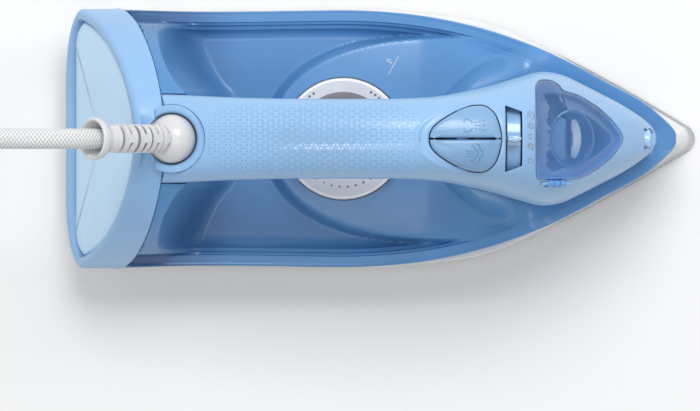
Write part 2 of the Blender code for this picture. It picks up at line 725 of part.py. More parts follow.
def make_heel():
    rings = [heel_ring(heel_rear, 0.0, 2.4), heel_ring(heel_rear, 1.2, 0.6), heel_ring(heel_rear, 3.0, 0.0)]
    rings += [heel_ring(heel_front, -1.0, 0.0), heel_ring(heel_front, 0.0, 0.9)]
    cover = loft("heel_cover", rings, PALE_BLUE)
    lean = Matrix.Translation(BALL) @ Matrix.Rotation(-COLLAR_TILT, 4, "Y")
    collar = rod("add_collar", (BALL.x, 0, 97), (BALL.x, 0, 126), COLLAR_RADIUS, None, 32)
    cut(cover, collar, "UNION")
    inside = [heel_ring(heel_rear, -2.0, 5.0), heel_ring(heel_rear, 4.8, 5.0), heel_ring(heel_rear, 4.9, 6.6)]
    inside += [heel_ring(heel_front, -2.6, 6.6)]
    cut(cover, loft("cut_heel_inside", inside, None))
    bore = [(0.0, -40.0), (13.0, -40.0), (13.0, -6.0), (0.0, -6.0)]
    mouth = [(0.0, 0.3), (26.0, 0.3), (26.0, 30.0), (0.0, 30.0)]
    ball = [(SOCKET_RADIUS * math.sin(math.pi * k / 14), -SOCKET_RADIUS * math.cos(math.pi * k / 14)) for k in range(15)]
    ball = [(0.0, ball[0][1]), *ball[1:-1], (0.0, ball[-1][1])]
    pieces = [turned("bore", bore, None, 24, Matrix.Translation(BALL)), turned("mouth", mouth, None, 32, lean)]
    cut(cover, joined("cut_socket", pieces))
    cut(cover, turned("cut_ball_seat", ball, None, 28, Matrix.Translation(BALL)))
    cut(cover, rod("cut_wire_way", (-114, 0, 94), (-98, 0, 94), 5.8, None, 12))
    panel_rings = [heel_ring(heel_rear, 2.0, 5.0 + GAP), heel_ring(heel_rear, 4.4, 5.0 + GAP)]
    rear = loft("heel_panel", panel_rings, HEEL_BLUE)
    inwards = Vector((1.0, 0.0, -HEEL_LEAN)).normalized()
    seat = Vector((heel_rear(40.0), 0.0, 40.0))
    cut(rear, rod("cut_heel_screw", seat - inwards * 4.0, seat + inwards * 9.0, 1.9, None, 10))
    screw = [(0.0, 0.2), (3.4, 0.2), (3.4, 1.5), (1.5, 1.6), (1.5, 8.5), (0.0, 8.5)]
    turned("heel_screw", screw, STEEL, 12, aimed(seat, inwards))


def make_terminals():
    """The clamp and the terminal block in the heel, with the wires up to the swivel."""
    block("terminal_block", (-130.4, -13, 49), (-124.9, 13, 59), WHITE, 0.6)
    block("cord_clamp", (-119.2, -11, 69), (-117.6, 11, 72.4), GREY)
    for name, y, material in (("live_wire", 5.0, LIVE), ("neutral_wire", -5.0, NEUTRAL), ("earth_wire", 0.0, EARTH)):
        line = [(-127.4, y * 1.6, 59.5), (-125.2, y * 1.6, 64.5), (-121.6, y * 1.9, 71), (-117.4, y * 2.1, 79.5)]
        line += [(-112.0, y * 1.1, 91.4), (-107, y * 0.5, 94), (-99.5, y * 0.45, 97.5), (-96.6, y * 0.45, 103.5)]
        tube(name, flowing(line, 2), 1.0, material, 6)


def make_socket_cup():
    """The lower half of the swivel's seat."""
    profile = [(6.0, -13.6), (12.7, -13.6), (12.7, -6.0 - GAP)]
    for k in range(7):
        angle = math.radians(32.0 + 25.0 * (1.0 - k / 6))
        profile.append((SOCKET_RADIUS * math.sin(angle), -SOCKET_RADIUS * math.cos(angle)))
    turned("socket_cup", profile, WHITE, 24, Matrix.Translation(BALL))


def make_guard():
    """The ball and the ribbed sleeve that rises from it, turned round the sleeve's axis."""
    along = Vector((-math.cos(GUARD_RISE), 0.0, math.sin(GUARD_RISE)))
    bore = CORD_RADIUS + 0.35
    start = math.asin(bore / BALL_RADIUS)
    end = math.pi - math.asin(5.6 / BALL_RADIUS)
    profile = []
    for k in range(10):
        angle = start + (end - start) * k / 9
        profile.append((BALL_RADIUS * math.sin(angle), -BALL_RADIUS * math.cos(angle)))
    profile += [(5.6, 14.2)]
    for k in range(5):
        at = 14.6 + 5.2 * k
        profile += [(GUARD_RADIUS, at), (GUARD_RADIUS, at + 2.9), (5.6, at + 3.3), (5.6, at + 4.8)]
    profile += [(GUARD_RADIUS, 41.0), (GUARD_MOUTH - 0.6, 43.6), (GUARD_MOUTH, GUARD_LENGTH - 1.0)]
    profile += [(GUARD_MOUTH - 0.5, GUARD_LENGTH), (7.6, GUARD_LENGTH), (bore, 41.5)]
    guard = turned("cord_guard", profile, WHITE, 16, aimed((0, 0, 0), along))
    guard.location = BALL * MM


# ---------------------------------------------------------------- handle

NOSE_STATIONS = [-104, -96, -82, -60, -38, -14, 8, 22, 33.9, 34.5, 40, 46, 54, 62, 67, 78, 89, 100, 112, 119, 123.5, 126.5]
BUTTON_OUTLINE = (
    (19.4, 0.0), (20.2, 3.6), (22.8, 6.7), (27.0, 9.7), (31.6, 12.2), (36.2, 14.1), (40.0, 14.9), (43.9, 14.8),
    (46.9, 13.2), (49.2, 10.5), (50.7, 6.7), (51.6, 2.8), (51.8, 0.0),
)
DOOR_OUTLINE = (
    (68.2, -18.2), (74.0, -18.2), (74.2, -19.8), (80.4, -19.8), (81.6, -18.2), (88.5, -18.2), (97.0, -13.8), (103.9, -8.4), (108.3, -2.8), (109.4, 0.0), (108.3, 2.8),
    (103.9, 8.4), (97.0, 14.6), (88.0, 19.8), (80.8, 21.6), (79.0, 24.6), (75.5, 26.6), (70.5, 26.6),
    (68.2, 24.0), (67.7, 12.0), (67.6, 0.0), (67.8, -10.0),
)


def grown(outline, centre, amount):
    """An outline pushed outwards from its centre by about the amount."""
    spread = []
    for x, y in outline:
        away = Vector((x - centre[0], y - centre[1]))
        away *= 1.0 + amount / away.length
        spread.append((centre[0] + away.x, centre[1] + away.y))
    return spread


def handle_ring(x, inset, top, low):
    """One section of the upper handle: from its lower edge round over the top."""
    half = max(0.5, handle_half(x) - inset)
    side = []
    for k in range(11):
        angle = math.pi * (1.0 - k / 10)
        side.append((x, half * math.copysign(abs(math.cos(angle)) ** 0.85, math.cos(angle))))
    return [(x, -half, low), *[(x, y, max(low + 0.2, top(x, y))) for x, y in side], (x, half, low)]


def handle_hollow(x, y):
    depth = WALL + 3.4 * smooth((x - 62.0) / 5.0)
    shrunk = y * handle_half(x) / max(0.5, handle_half(x) - WALL)
    return handle_surface(x, shrunk) - depth


def door_top(x, y):
    return handle_surface(x, y) + 0.1


def make_handle_top():
    rings = [handle_ring(x, 0.0, lambda x, y: max(handle_surface(x, y), parting_z(x) + 0.2), parting_z(x)) for x in NOSE_STATIONS]
    top = loft("handle_top", rings, PALE_BLUE)
    inside = [x for x in NOSE_STATIONS if x < 122.0]
    rings = [handle_ring(x, WALL, handle_hollow, parting_z(x) - 9.0) for x in inside]
    rings[0] = [(x - 6.0, y, z) for x, y, z in rings[0]]
    cut(top, loft("cut_handle_inside", rings, None))
    cut(top, heel_zone("cut_heel_zone"))
    cut(top, collar_cutter("cut_collar", COLLAR_RADIUS + GAP, 60))
    full = [*BUTTON_OUTLINE, *[(x, -y) for x, y in reversed(BUTTON_OUTLINE[1:-1])]]
    door = grown(DOOR_OUTLINE, (86.0, 2.0), 0.4)
    centre = (40.0, 0.0)
    window = [(53.6, -15.0), (61.3, -12.2), (61.3, 12.2), (53.6, 15.0)]
    pieces = [
        prism("buttons", full, 120.0, 160.0),
        prism("window", window, 118.0, 160.0),
    ]
    cut(top, joined("cut_controls", pieces))
    recess = panel("recess", door, (86.0, 2.0), lambda x, y: 160.0, lambda x, y: door_top(x, y) - 3.6, None)
    pieces = [recess, hinge_pocket()]
    cut(top, joined_by_union("cut_door_recess", pieces))
    cut(top, well("cut_filler", FILLER.x, 0.0, FILLER_RADIUS, 90.0, 150.0, 28))
    start, along = hinge_line()
    cut(top, tube("cut_hinge_pin", [start - along * 9.0, start + along * 9.0], 1.25, None, 10))
    cut(top, rod("cut_nozzle", (108, 0, 76), (140, 0, 76), 5.0, None, 20))


def hinge_line():
    """The middle and the direction of the door's hinge, which lies along the slope."""
    ends = [Vector((x, HINGE_Y, handle_surface(x, HINGE_Y) + 0.1)) for x in (72.5, 82.2)]
    return (ends[0] + ends[1]) / 2, (ends[1] - ends[0]).normalized()


def hinge_pocket():
    start, along = hinge_line()
    return tube("pocket", [start - along * 5.6, start + along * 5.6], HINGE_RADIUS + 0.7, None, 16)


def joined_by_union(name, pieces):
    """Overlapping helpers as one cutter."""
    first = pieces[0]
    first.name = name
    for piece in pieces[1:]:
        piece.name = f"{name}_more"
        cut(first, piece, "UNION")
    return first


def make_handle_bottom():
    stations = [x for x in NOSE_STATIONS if x < 34.0]
    rings = []
    for x in stations:
        half = handle_half(x)
        side = []
        for k in range(9):
            angle = math.pi * (1.0 - k / 8)
            y = half * math.copysign(abs(math.cos(angle)) ** 0.85, math.cos(angle))
            side.append((x, y, min(handle_floor(x, y), parting_z(x) - GAP - 0.2)))
        rings.append([(x, -half, parting_z(x) - GAP), *side, (x, half, parting_z(x) - GAP)])
    low = loft("handle_bottom", rings, PALE_BLUE)
    rings = []
    for x in stations[:-1]:
        half = handle_half(x) - WALL
        side = []
        for k in range(9):
            angle = math.pi * (1.0 - k / 8)
            y = half * math.copysign(abs(math.cos(angle)) ** 0.85, math.cos(angle))
            side.append((x, y, min(handle_floor(x, y * handle_half(x) / half) + WALL, parting_z(x) + 3.0)))
        rings.append([(x, -half, parting_z(x) + 6.0), *side, (x, half, parting_z(x) + 6.0)])
    rings[0] = [(x - 6.0, y, z) for x, y, z in rings[0]]
    cut(low, loft("cut_grip_inside", rings, None))
    cut(low, heel_zone("cut_heel_zone_2"))
    cut(low, collar_cutter("cut_collar_2", COLLAR_RADIUS + GAP, 96.0))


def make_buttons():
    """Two halves of one egg shape, each on its own plunger, spring and pump."""
    for side, name in ((1, "spray"), (-1, "boost")):
        outer = [(x, y * side) for x, y in BUTTON_OUTLINE]
        centre = (40.0, 6.4 * side)
        edge = [(x, y) for x, y in outer if abs(y) > 0.1]
        edge = [(20.3, 0.35 * side), *edge, (51.4, 0.35 * side)]
        edge = grown(edge, (40.0, 0.35 * side), -0.4)
        edge = [(x, max(0.3, y * side) * side) for x, y in edge]
        button = panel(f"{name}_button", edge, centre, lambda x, y: handle_surface(x, y) + 0.5,
                       lambda x, y: handle_surface(x, y) - 3.0, PALE_BLUE)
        start = Vector((PUMP_X, PUMP_Y * side, 0.0))
        seat = handle_surface(start.x, start.y * 1.6) - 3.0 - GAP
        stem = rod(f"{name}_plunger", (*start.xy, 119.0), (*start.xy, seat), 1.8, WHITE, 10)
        profile = [(4.6, 110.0), (6.2, 110.0), (6.2, 125.0), (2.3, 125.0), (2.3, 123.4), (4.6, 123.4)]
        turned(f"{name}_pump", profile, WHITE, 20, Matrix.Translation(start))
        piston = [(0.0, 115.0), (4.2, 115.0), (4.2, 118.7), (0.0, 118.7)]
        turned(f"{name}_piston", piston, RUBBER, 16, Matrix.Translation(start))
        coils, low, high = 3.5, 125.0 + GAP + 0.5, seat - 1.4
        line = []
        for k in range(int(coils * 10) + 1):
            angle = math.tau * k / 10
            share = k / (coils * 10)
            line.append(start + Vector((3.6 * math.cos(angle), 3.6 * math.sin(angle), low + (high - low) * share)))
        tube(f"{name}_spring", line, 0.45, STEEL, 4)
        button["side"] = side
        stem["side"] = side


def make_steam_lever():
    """A drum sector with a ridge on it, turning about an axis along the iron."""
    place = aimed((LEVER_X[0] + 0.4, 0.0, 0.0), (1, 0, 0))
    wide = LEVER_X[1] - LEVER_X[0] - 0.6
    r = LEVER_RADIUS
    profile = [(2.0, 0.0), (r, 0.0), (r, wide), (r - 2.0, wide), (r - 2.0, 1.6), (4.2, 1.6), (4.2, wide), (2.0, wide)]
    lever = turned("steam_lever", profile, PALE_BLUE, 24, place, 0.0, math.radians(128.0))
    top = max(lever.data.vertices, key=lambda v: v.co.z)
    middle = sum((v.co for v in lever.data.vertices), Vector()) / len(lever.data.vertices)
    angle = math.atan2(middle.y, middle.z)
    lever.data.transform(Matrix.Rotation(angle, 4, "X"))
    ridge = block("add_ridge", (LEVER_X[0] + 0.7, -1.3, r - 1.0), (LEVER_X[1] - 0.5, 1.3, r + 7.4), None)
    cut(lever, ridge, "UNION")
    pin = rod("lever_pin", (LEVER_X[0] - 2.3, 0, 0), (LEVER_X[1] + 2.3, 0, 0), 1.6, STEEL, 12)
    for obj in (lever, ridge, pin):
        obj.location = Vector((0, 0, LEVER_AXIS_Z)) * MM
    return top


def make_carrier():
    """The frame that holds the lever's pin and guides the needle."""
    low = parting_z(50.0) + 0.6
    pieces = [
        [(50.6, low), (66.2, low), (66.2, 116.5), (63.7, 116.5), (63.7, low + 2.4), (53.1, low + 2.4), (53.1, 116.5), (50.6, 116.5)],
    ]
    frame = loft("control_carrier", [[(x, y, z) for x, z in pieces[0]] for y in (-5.0, 5.0)], WHITE)
    holes = [
        rod("pin", (45, 0, LEVER_AXIS_Z), (70, 0, LEVER_AXIS_Z), 1.9, None, 12),
        well("needle", NEEDLE_X, 0.0, 1.9, 80.0, 105.0),
    ]
    cut(frame, joined("cut_carrier", holes))


def make_dosing():
    """The needle that the lever lifts, and the valve that it closes."""
    top, low = LEVER_AXIS_Z - 3.4, 18.0
    needle = rod("dosing_needle", (0, 0, low - LEVER_AXIS_Z), (0, 0, top - LEVER_AXIS_Z), 1.4, WHITE, 8)
    needle.location = Vector((NEEDLE_X, 0, LEVER_AXIS_Z)) * MM
    profile = [(1.8, 14.35), (4.6, 14.35), (4.6, 18.6), (3.0, 18.7), (3.0, 24.0), (1.8, 24.0)]
    turned("dosing_valve", profile, BRASS, 14, Matrix.Translation((NEEDLE_X, 0, 0)))


def make_filling():
    """The clear door with its pin and seal, and the funnel that it closes."""
    start, along = hinge_line()
    centre = (86.0, 2.0)
    door = panel("filler_door", DOOR_OUTLINE, centre, lambda x, y: door_top(x, y) + 0.4,
                 lambda x, y: door_top(x, y) - 1.6, DOOR_BLUE, 4)
    knuckle = tube("add_knuckle", [start - along * 4.9, start + along * 4.9], HINGE_RADIUS, None, 14)
    cut(door, knuckle, "UNION")
    cut(door, tube("cut_knuckle", [start - along * 7.0, start + along * 7.0], 1.2, None, 10))
    for obj in (door, knuckle, bpy.data.objects["cut_knuckle"]):
        obj.data.transform(Matrix.Translation(-start * MM))
        obj.location = start * MM
    tube("door_pin", [start - along * 8.4, start + along * 8.4], 0.9, STEEL, 10)
    washer("door_seal", (FILLER.x, 0.0), 12.6, 14.6, lambda x, y: door_top(x, y) - 2.5,
           lambda x, y: door_top(x, y) - 3.3, RUBBER, 28)
    slope = Matrix.Identity(4)
    slope[2][0] = -0.72
    place = Matrix.Translation((FILLER.x, 0.0, 0.0)) @ slope
    profile = [(8.2, 62.0), (9.7, 62.0), (9.7, 96.0), (11.8, 107.0), (10.3, 107.0), (8.2, 96.0)]
    turned("filler_funnel", profile, TANK_BLUE, 24, place)


def make_spray():
    profile = [(1.2, 0.0), (3.0, 0.0), (3.0, 3.0), (4.6, 3.2), (4.6, 11.5), (3.6, 12.2), (1.2, 11.2)]
    turned("spray_nozzle", profile, WHITE, 20, aimed((111.6, 0, 76), (1, 0, 0)))
    line = [(PUMP_X, PUMP_Y, 109.4), (PUMP_X + 1.5, 9.4, 107.4), (48, 13, 103.5), (58, 17.5, 98), (72, 19, 90)]
    line += [(88, 17.5, 83.5), (100, 11, 78.5), (106.0, 3.0, 76.2), (110.9, 0, 76)]
    tube("spray_hose", flowing(line, 2), 1.5, WHITE, 8)
    x, y = BOOST_HOSE_AT
    line = [(PUMP_X, -PUMP_Y, 109.4), (x - 1.4, -9.8, 107.0), (x, y, 103), (x, y, 90), (x, y, 50), (x, y, 14.4)]
    tube("boost_hose", flowing(line, 2), 1.2, WHITE, 8)
    x, y = SUCTION_AT
    line = [(x, y, 108.6), (x, y, 90), (x, y, 60), (x, y, 26)]
    tube("suction_hose", flowing(line, 2), 1.5, WHITE, 8)


# ---------------------------------------------------------------- mains lead

CORD_ROUTE = (
    (-127.0, 0.0, 147.6), (-134.3, 0.0, 152.9), (-141.0, 0.0, 156.9), (-147.9, 0.0, 159.4), (-155.1, 0.0, 160.6),
    (-162.5, 0.0, 160.6), (-169.7, 0.0, 159.4), (-176.5, 0.0, 156.9), (-182.9, 0.0, 153.2), (-188.5, 0.0, 148.5),
    (-193.2, -0.1, 142.9), (-196.9, -0.3, 136.5), (-199.4, -0.7, 129.7), (-200.8, -1.4, 121.4), (-201.4, -3.2, 110.0),
    (-201.6, -6.2, 97.0), (-202.2, -11.0, 84.0), (-204.0, -17.8, 71.0), (-208.0, -26.4, 57.0), (-214.2, -35.6, 44.0),
    (-222.3, -43.9, 33.2), (-231.5, -50.6, 25.0),
)
TAIL_ROUTE = (
    (-298.6, -50.6, 9.2), (-305.5, -49.3, 11.3), (-312.5, -47.9, 13.4), (-319.5, -46.5, 15.5), (-326.5, -45.2, 17.2),
    (-332.5, -44.3, 18.3), (-336.8, -44.0, 18.65),
)


def cord(name, route, material):
    """A round cord as a bevelled curve: a point every two diameters, read from a smooth line through its route."""
    line = flowing(route, 12)
    spots, since = [line[0]], 0.0
    total = sum((b - a).length for a, b in zip(line, line[1:]))
    step = total / max(2, round(total / (4.0 * CORD_RADIUS)))
    for a, b in zip(line, line[1:]):
        since += (b - a).length
        if since >= step:
            spots.append(b)
            since -= step
    if (spots[-1] - line[-1]).length < step / 2:
        spots.pop()
    spots.append(line[-1])
    data = bpy.data.curves.new(name, "CURVE")
    data.dimensions = "3D"
    data.bevel_depth = CORD_RADIUS * MM
    data.bevel_resolution = 3
    data.use_fill_caps = True
    spline = data.splines.new("POLY")
    spline.points.add(len(spots) - 1)
    for point, spot in zip(spline.points, spots):
        point.co = (*(spot * MM), 1.0)
    data.materials.append(material)
    obj = bpy.data.objects.new(name, data)
    bpy.context.scene.collection.objects.link(obj)
    return obj


def make_lead():
    """The lead from the guard to its coil on the floor, the band round the coil, and the plug."""
    cord("mains_cord", CORD_ROUTE, BRAID)
    low, high = COIL_LEVELS
    profile = []
    for k in range(10):
        angle = math.tau * k / 10
        c, s = math.cos(angle), math.sin(angle)
        across = math.copysign(abs(c) ** 0.55, c) * (COIL_OUTER - COIL_INNER) / 2
        up = math.copysign(abs(s) ** 0.55, s) * (high - low) / 2
        profile.append(((COIL_OUTER + COIL_INNER) / 2 + across, (high + low) / 2 + up))
    turned("cord_coil", profile, BRAID, 28, Matrix.Translation((*COIL_CENTRE, 0.0)))
    cord("cord_tail", TAIL_ROUTE, BRAID)
    x = COIL_CENTRE[0]
    tie = block("cord_tie", (x - 5, COIL_INNER - 2.2, 0.2), (x + 5, COIL_OUTER + 1.4, high + 1.4), WHITE)
    cut(tie, block("cut_tie", (x - 9, COIL_INNER - 1.0, low - 0.4), (x + 9, COIL_OUTER + 0.4, high + 0.4), None))
    profile = [(0, 0.2), (5.4, 0.2), (6.6, 20), (9.4, 24), (16, 28.5), (18.5, 35), (18.5, 58), (17.4, 60), (0, 60)]
    turned("plug_body", profile, WHITE, 24, aimed(PLUG_AT, (-1, 0, 0)))
    for side, name in ((1, "left"), (-1, "right")):
        at = PLUG_AT + Vector((0.0, side * PIN_APART / 2, 0.0))
        profile = [(0, 60.35), (2.4, 60.35), (2.4, 78.0), (1.3, 79.4), (0, 79.4)]
        turned(f"plug_pin_{name}", profile, BRASS, 12, aimed(at, (-1, 0, 0)))


def set_pivots():
    """Each moving piece turns or slides about its own origin."""
    for side, name in ((1, "spray"), (-1, "boost")):
        at = Vector((PUMP_X, PUMP_Y * side, 130.0)) * MM
        for part in ("button", "plunger", "piston"):
            obj = bpy.data.objects[f"{name}_{part}"]
            obj.data.transform(Matrix.Translation(-at))
            obj.location = at


def main():
    clear_scene()
    make_soleplate()
    make_heating_base()
    make_heater()
    make_thermostat()
    make_heat_shield()
    make_screws()
    make_tank()
    make_dial()
    make_heel()
    make_terminals()
    make_socket_cup()
    make_guard()
    make_handle_top()
    make_handle_bottom()
    make_buttons()
    make_steam_lever()
    make_carrier()
    make_dosing()
    make_filling()
    make_spray()
    make_lead()
    set_pivots()


main()
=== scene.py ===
"""Looks of a steam iron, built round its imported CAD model. Run it in Blender 4.5.

The iron stands on its soleplate with its pointed front towards +X. Shapes are written in millimetres and
turned into metres where each mesh is made.
"""

import math

import bmesh
import bpy
import numpy as np
from mathutils import Matrix, Vector


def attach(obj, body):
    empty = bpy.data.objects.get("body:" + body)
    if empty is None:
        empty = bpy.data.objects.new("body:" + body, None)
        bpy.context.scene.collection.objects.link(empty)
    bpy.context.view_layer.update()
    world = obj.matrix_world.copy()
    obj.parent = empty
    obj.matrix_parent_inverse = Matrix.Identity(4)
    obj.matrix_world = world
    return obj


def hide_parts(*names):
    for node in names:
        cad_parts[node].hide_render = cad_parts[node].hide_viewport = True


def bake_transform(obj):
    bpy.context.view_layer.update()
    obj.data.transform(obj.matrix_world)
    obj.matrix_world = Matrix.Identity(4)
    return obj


MM = 0.001
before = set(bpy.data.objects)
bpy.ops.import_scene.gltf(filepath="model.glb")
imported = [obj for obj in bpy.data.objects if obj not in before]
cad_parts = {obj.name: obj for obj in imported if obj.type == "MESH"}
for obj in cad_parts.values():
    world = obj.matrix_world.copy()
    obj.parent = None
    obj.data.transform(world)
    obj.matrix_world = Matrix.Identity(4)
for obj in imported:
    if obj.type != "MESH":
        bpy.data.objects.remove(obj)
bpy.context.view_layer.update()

# ---------------------------------------------------------------- sizes, shared with the CAD model

GAP = 0.35
WALL = 2.4
SOLE_TIP = 152.5
SOLE_REAR = -141.0
SOLE_THICK = 2.2
SHIELD_TIP = 151.0
SHIELD_REAR = -143.0
SHIELD_TOP = 18.6
BODY_BASE = 19.0
BODY_TIP = 141.6
BODY_TIP_AT = 22.0
BODY_RAKE = 0.1
BODY_WIDEST = -20.0
POCKET_LEVEL = 41.0
DOME_LEVEL = 56.0
RIM_WIDTH = 5.0
HEEL_HALF = 62.5
HEEL_SPRING = 30.0
HEEL_TOP = 116.5
HEEL_ROUND = 1.75
HEEL_BASE = 19.0
HEEL_REAR = -153.5
TIP_FULLNESS = 3.3
TIP_BLEND = 6.0
HEEL_LEAN = 0.42
HEEL_FRONT = -124.0
HEEL_FRONT_LEAN = 0.315
HEEL_FRONT_AT = 39.0
DIAL_X = -18.9
DIAL_RADIUS = 29.0
DIAL_SEAT = 52.0
LEVER_X = (54.0, 61.0)
LEVER_AXIS_Z = 114.0
LEVER_RADIUS = 19.5
HINGE_Y = -20.2
HINGE_RADIUS = 1.7
FILLER_X = 84.8
BALL = Vector((-96.6, 0.0, 118.0))
BALL_RADIUS = 11.0
GUARD_RISE = math.radians(44.0)
GUARD_LENGTH = 46.5
COLLAR_RADIUS = 15.3
COLLAR_TILT = math.radians(19.0)
CORD_RADIUS = 4.5
COIL_CENTRE = (-256.0, 0.0)
COIL_INNER = 33.2
COIL_OUTER = 61.8
COIL_LEVELS = (1.6, 20.6)
PLUG_AT = Vector((-340.0, -44.0, 18.7))
PIN_APART = 19.0


# ---------------------------------------------------------------- shape maths, on arrays


def smooth(t):
    t = np.clip(t, 0.0, 1.0)
    return t * t * (3.0 - 2.0 * t)


def curve(points):
    """A smooth function through the points, flat beyond its ends."""
    xs = np.array([p[0] for p in points], float)
    ys = np.array([p[1] for p in points], float)
    last = len(xs) - 1
    low = np.maximum(np.arange(last + 1) - 1, 0)
    high = np.minimum(np.arange(last + 1) + 1, last)
    slopes = (ys[high] - ys[low]) / (xs[high] - xs[low])

    def at(x):
        x = np.clip(np.asarray(x, float), xs[0], xs[-1])
        i = np.clip(np.searchsorted(xs, x, side="right") - 1, 0, last - 1)
        width = xs[i + 1] - xs[i]
        t = (x - xs[i]) / width
        h0 = (1 + 2 * t) * (1 - t) ** 2
        h1 = t * (1 - t) ** 2
        h2 = t * t * (3 - 2 * t)
        h3 = t * t * (t - 1)
        return h0 * ys[i] + h1 * width * slopes[i] + h2 * ys[i + 1] + h3 * width * slopes[i + 1]

    return at


def taper(x, start, tip, fullness, sharpness):
    t = np.clip((x - start) / (tip - start), 0.0, 1.0)
    return (1.0 - t**fullness) ** sharpness


outline = curve([
    (-143, 61.3), (-85, 62.0), (-20, 62.8), (3.7, 62.6), (38.7, 59.0), (56.7, 54.9), (70.8, 49.2),
    (87.4, 41.1),
    (116.9, 25.0), (125.7, 20.0), (134.4, 14.8), (143.2, 9.6), (148.9, 6.1), (152.5, 3.9),
])


def tipped(side, tip, x):
    """A side that ends in a round tip of 7 mm radius."""
    left = np.maximum(0.0, tip - x)
    return np.where(left < 3.8, np.minimum(side, np.sqrt(np.maximum(0.0, left * (14.0 - left)))), side)


def sole_half(x):
    x = np.asarray(x, float)
    return tipped(outline(x) - 1.6 * (1.0 - smooth((x - 60.0) / 50.0)), SOLE_TIP, x)


def shield_half(x, height):
    x = np.asarray(x, float)
    share = height / SHIELD_TOP
    shift = (SOLE_TIP - SHIELD_TIP + 7.0 * share) * smooth((x - 20.0) / 100.0)
    return tipped(outline(x + shift) - 0.9 * share, SHIELD_TIP - 7.0 * share, x)


body_width = curve([(-130, 62.2), (-85, 61.1), (-20, 61.9)])


def body_tip(z):
    return BODY_TIP - BODY_RAKE * (z - BODY_TIP_AT)


def body_half(x, z):
    """Half the tank's width, with its taper blended into a round tip."""
    lean = 1.0 - 0.0006 * np.maximum(0.0, z - 25.0)
    fuller = TIP_FULLNESS * smooth((x - 100.0) / 28.0) + 0.01
    side = body_width(x) * lean * taper(x, BODY_WIDEST, body_tip(z), 2.2, 0.89) + fuller
    left = np.maximum(0.0, body_tip(z) - x)
    rounded_tip = np.sqrt(14.0 * left) + 0.5 * left + 0.01
    return np.maximum(0.4, (side**-TIP_BLEND + rounded_tip**-TIP_BLEND) ** (-1.0 / TIP_BLEND))


def arch_height(y, inset=0.0):
    share = np.minimum(1.0, np.abs(y) / (HEEL_HALF - inset))
    rise = HEEL_TOP - HEEL_SPRING - inset
    return HEEL_SPRING + rise * (1.0 - share**HEEL_ROUND) ** (1.0 / HEEL_ROUND)


def heel_rear(z):
    return HEEL_REAR + HEEL_LEAN * (z - HEEL_BASE)


def heel_front(z):
    return HEEL_FRONT + HEEL_FRONT_LEAN * (z - HEEL_FRONT_AT)


handle_half = curve([
    (-112, 21.5), (-97, 20.3), (-61, 18.5), (-16, 18.0), (20, 18.8), (43, 23.0), (62, 28.4),
    (72.4, 31.0), (82, 29.8), (91, 25.9), (101, 21.0), (111, 16.0), (121, 9.8), (126, 5.4), (128, 1.6),
])
handle_top_z = curve([
    (-112, 113), (-97, 120), (-83, 126), (-60, 132), (-38, 136.5), (-16, 140), (7, 143), (24, 144.5),
    (40, 144), (52, 141), (62, 136.5), (72, 130), (85, 120.6), (101, 108), (112, 96.5), (121, 83),
    (126, 73), (128, 66),
])
parting_z = curve([
    (-112, 97), (-97, 105), (-60, 116), (-16, 123), (20, 121), (34, 110), (46, 98), (60, 88),
    (76, 80), (100, 71.5), (128, 60),
])
underside_z = curve([(-112, 80), (-97, 90), (-75, 99), (-50, 104.5), (-16, 109), (10, 110.5), (30, 107),
    (44, 101)])
rim_z = curve([
    (-124, 50), (-85, 49), (-40, 48), (0, 50), (30, 56.5), (50, 65), (66, 74), (76, 75.5),
    (88, 71.5), (100, 66), (113, 59), (126, 52), (140, 46),
])
SECTION = 2.4


def handle_surface(x, y):
    share = np.minimum(1.0, np.abs(y) / handle_half(x))
    rise = handle_top_z(x) - parting_z(x)
    return parting_z(x) + rise * (1.0 - share**SECTION) ** (1.0 / SECTION)


def handle_floor(x, y):
    share = np.minimum(1.0, np.abs(y) / handle_half(x))
    fall = parting_z(x) - underside_z(x)
    return parting_z(x) - fall * (1.0 - share**SECTION) ** (1.0 / SECTION)


def plateau_z(x):
    return np.where(x < 34.2, underside_z(x), parting_z(x)) - GAP - 0.1


def rear_limit_z(x, margin):
    return HEEL_FRONT_AT + (x - HEEL_FRONT) / HEEL_FRONT_LEAN - margin


def tank_edge_z(x):
    front = BODY_TIP_AT + (BODY_TIP - x) / BODY_RAKE - 2.0
    return np.minimum(np.minimum(rim_z(x), np.maximum(BODY_BASE + 1.5, front)), rear_limit_z(x, 1.1))


def rim_inner(x):
    outer = body_half(x, tank_edge_z(x))
    inner = outer - np.minimum(RIM_WIDTH, 0.3 * outer)
    return outer, inner, np.minimum(7.0, 0.6 * inner)


# ---------------------------------------------------------------- making meshes


def link(obj):
    bpy.context.scene.collection.objects.link(obj)
    return obj


def mesh_object(name, points, faces, material=None, angle=40.0):
    """An object from points in millimetres with its faces turned outwards and shaded smooth."""
    mesh = bpy.data.meshes.new(name)
    mesh.from_pydata((np.asarray(points, float) * MM).tolist(), [], faces)
    face_outwards(mesh)
    obj = link(bpy.data.objects.new(name, mesh))
    if material is not None:
        mesh.materials.append(material)
    if angle:
        shade(obj, angle)
    return obj


def face_outwards(mesh):
    shape = bmesh.new()
    shape.from_mesh(mesh)
    bmesh.ops.recalc_face_normals(shape, faces=shape.faces)
    shape.to_mesh(mesh)
    shape.free()
    if signed_volume(mesh) < 0:
        mesh.flip_normals()


def signed_volume(mesh):
    mesh.calc_loop_triangles()
    co = np.empty(len(mesh.vertices) * 3)
    mesh.vertices.foreach_get("co", co)
    tris = np.empty(len(mesh.loop_triangles) * 3, np.int32)
    mesh.loop_triangles.foreach_get("vertices", tris)
    p = co.reshape(-1, 3)[tris.reshape(-1, 3)]
    return float(np.einsum("ij,ij->i", p[:, 0], np.cross(p[:, 1], p[:, 2])).sum())


def shade(obj, angle=40.0):
    obj.data.shade_smooth()
    obj.data.set_sharp_from_angle(angle=math.radians(angle))
    return obj


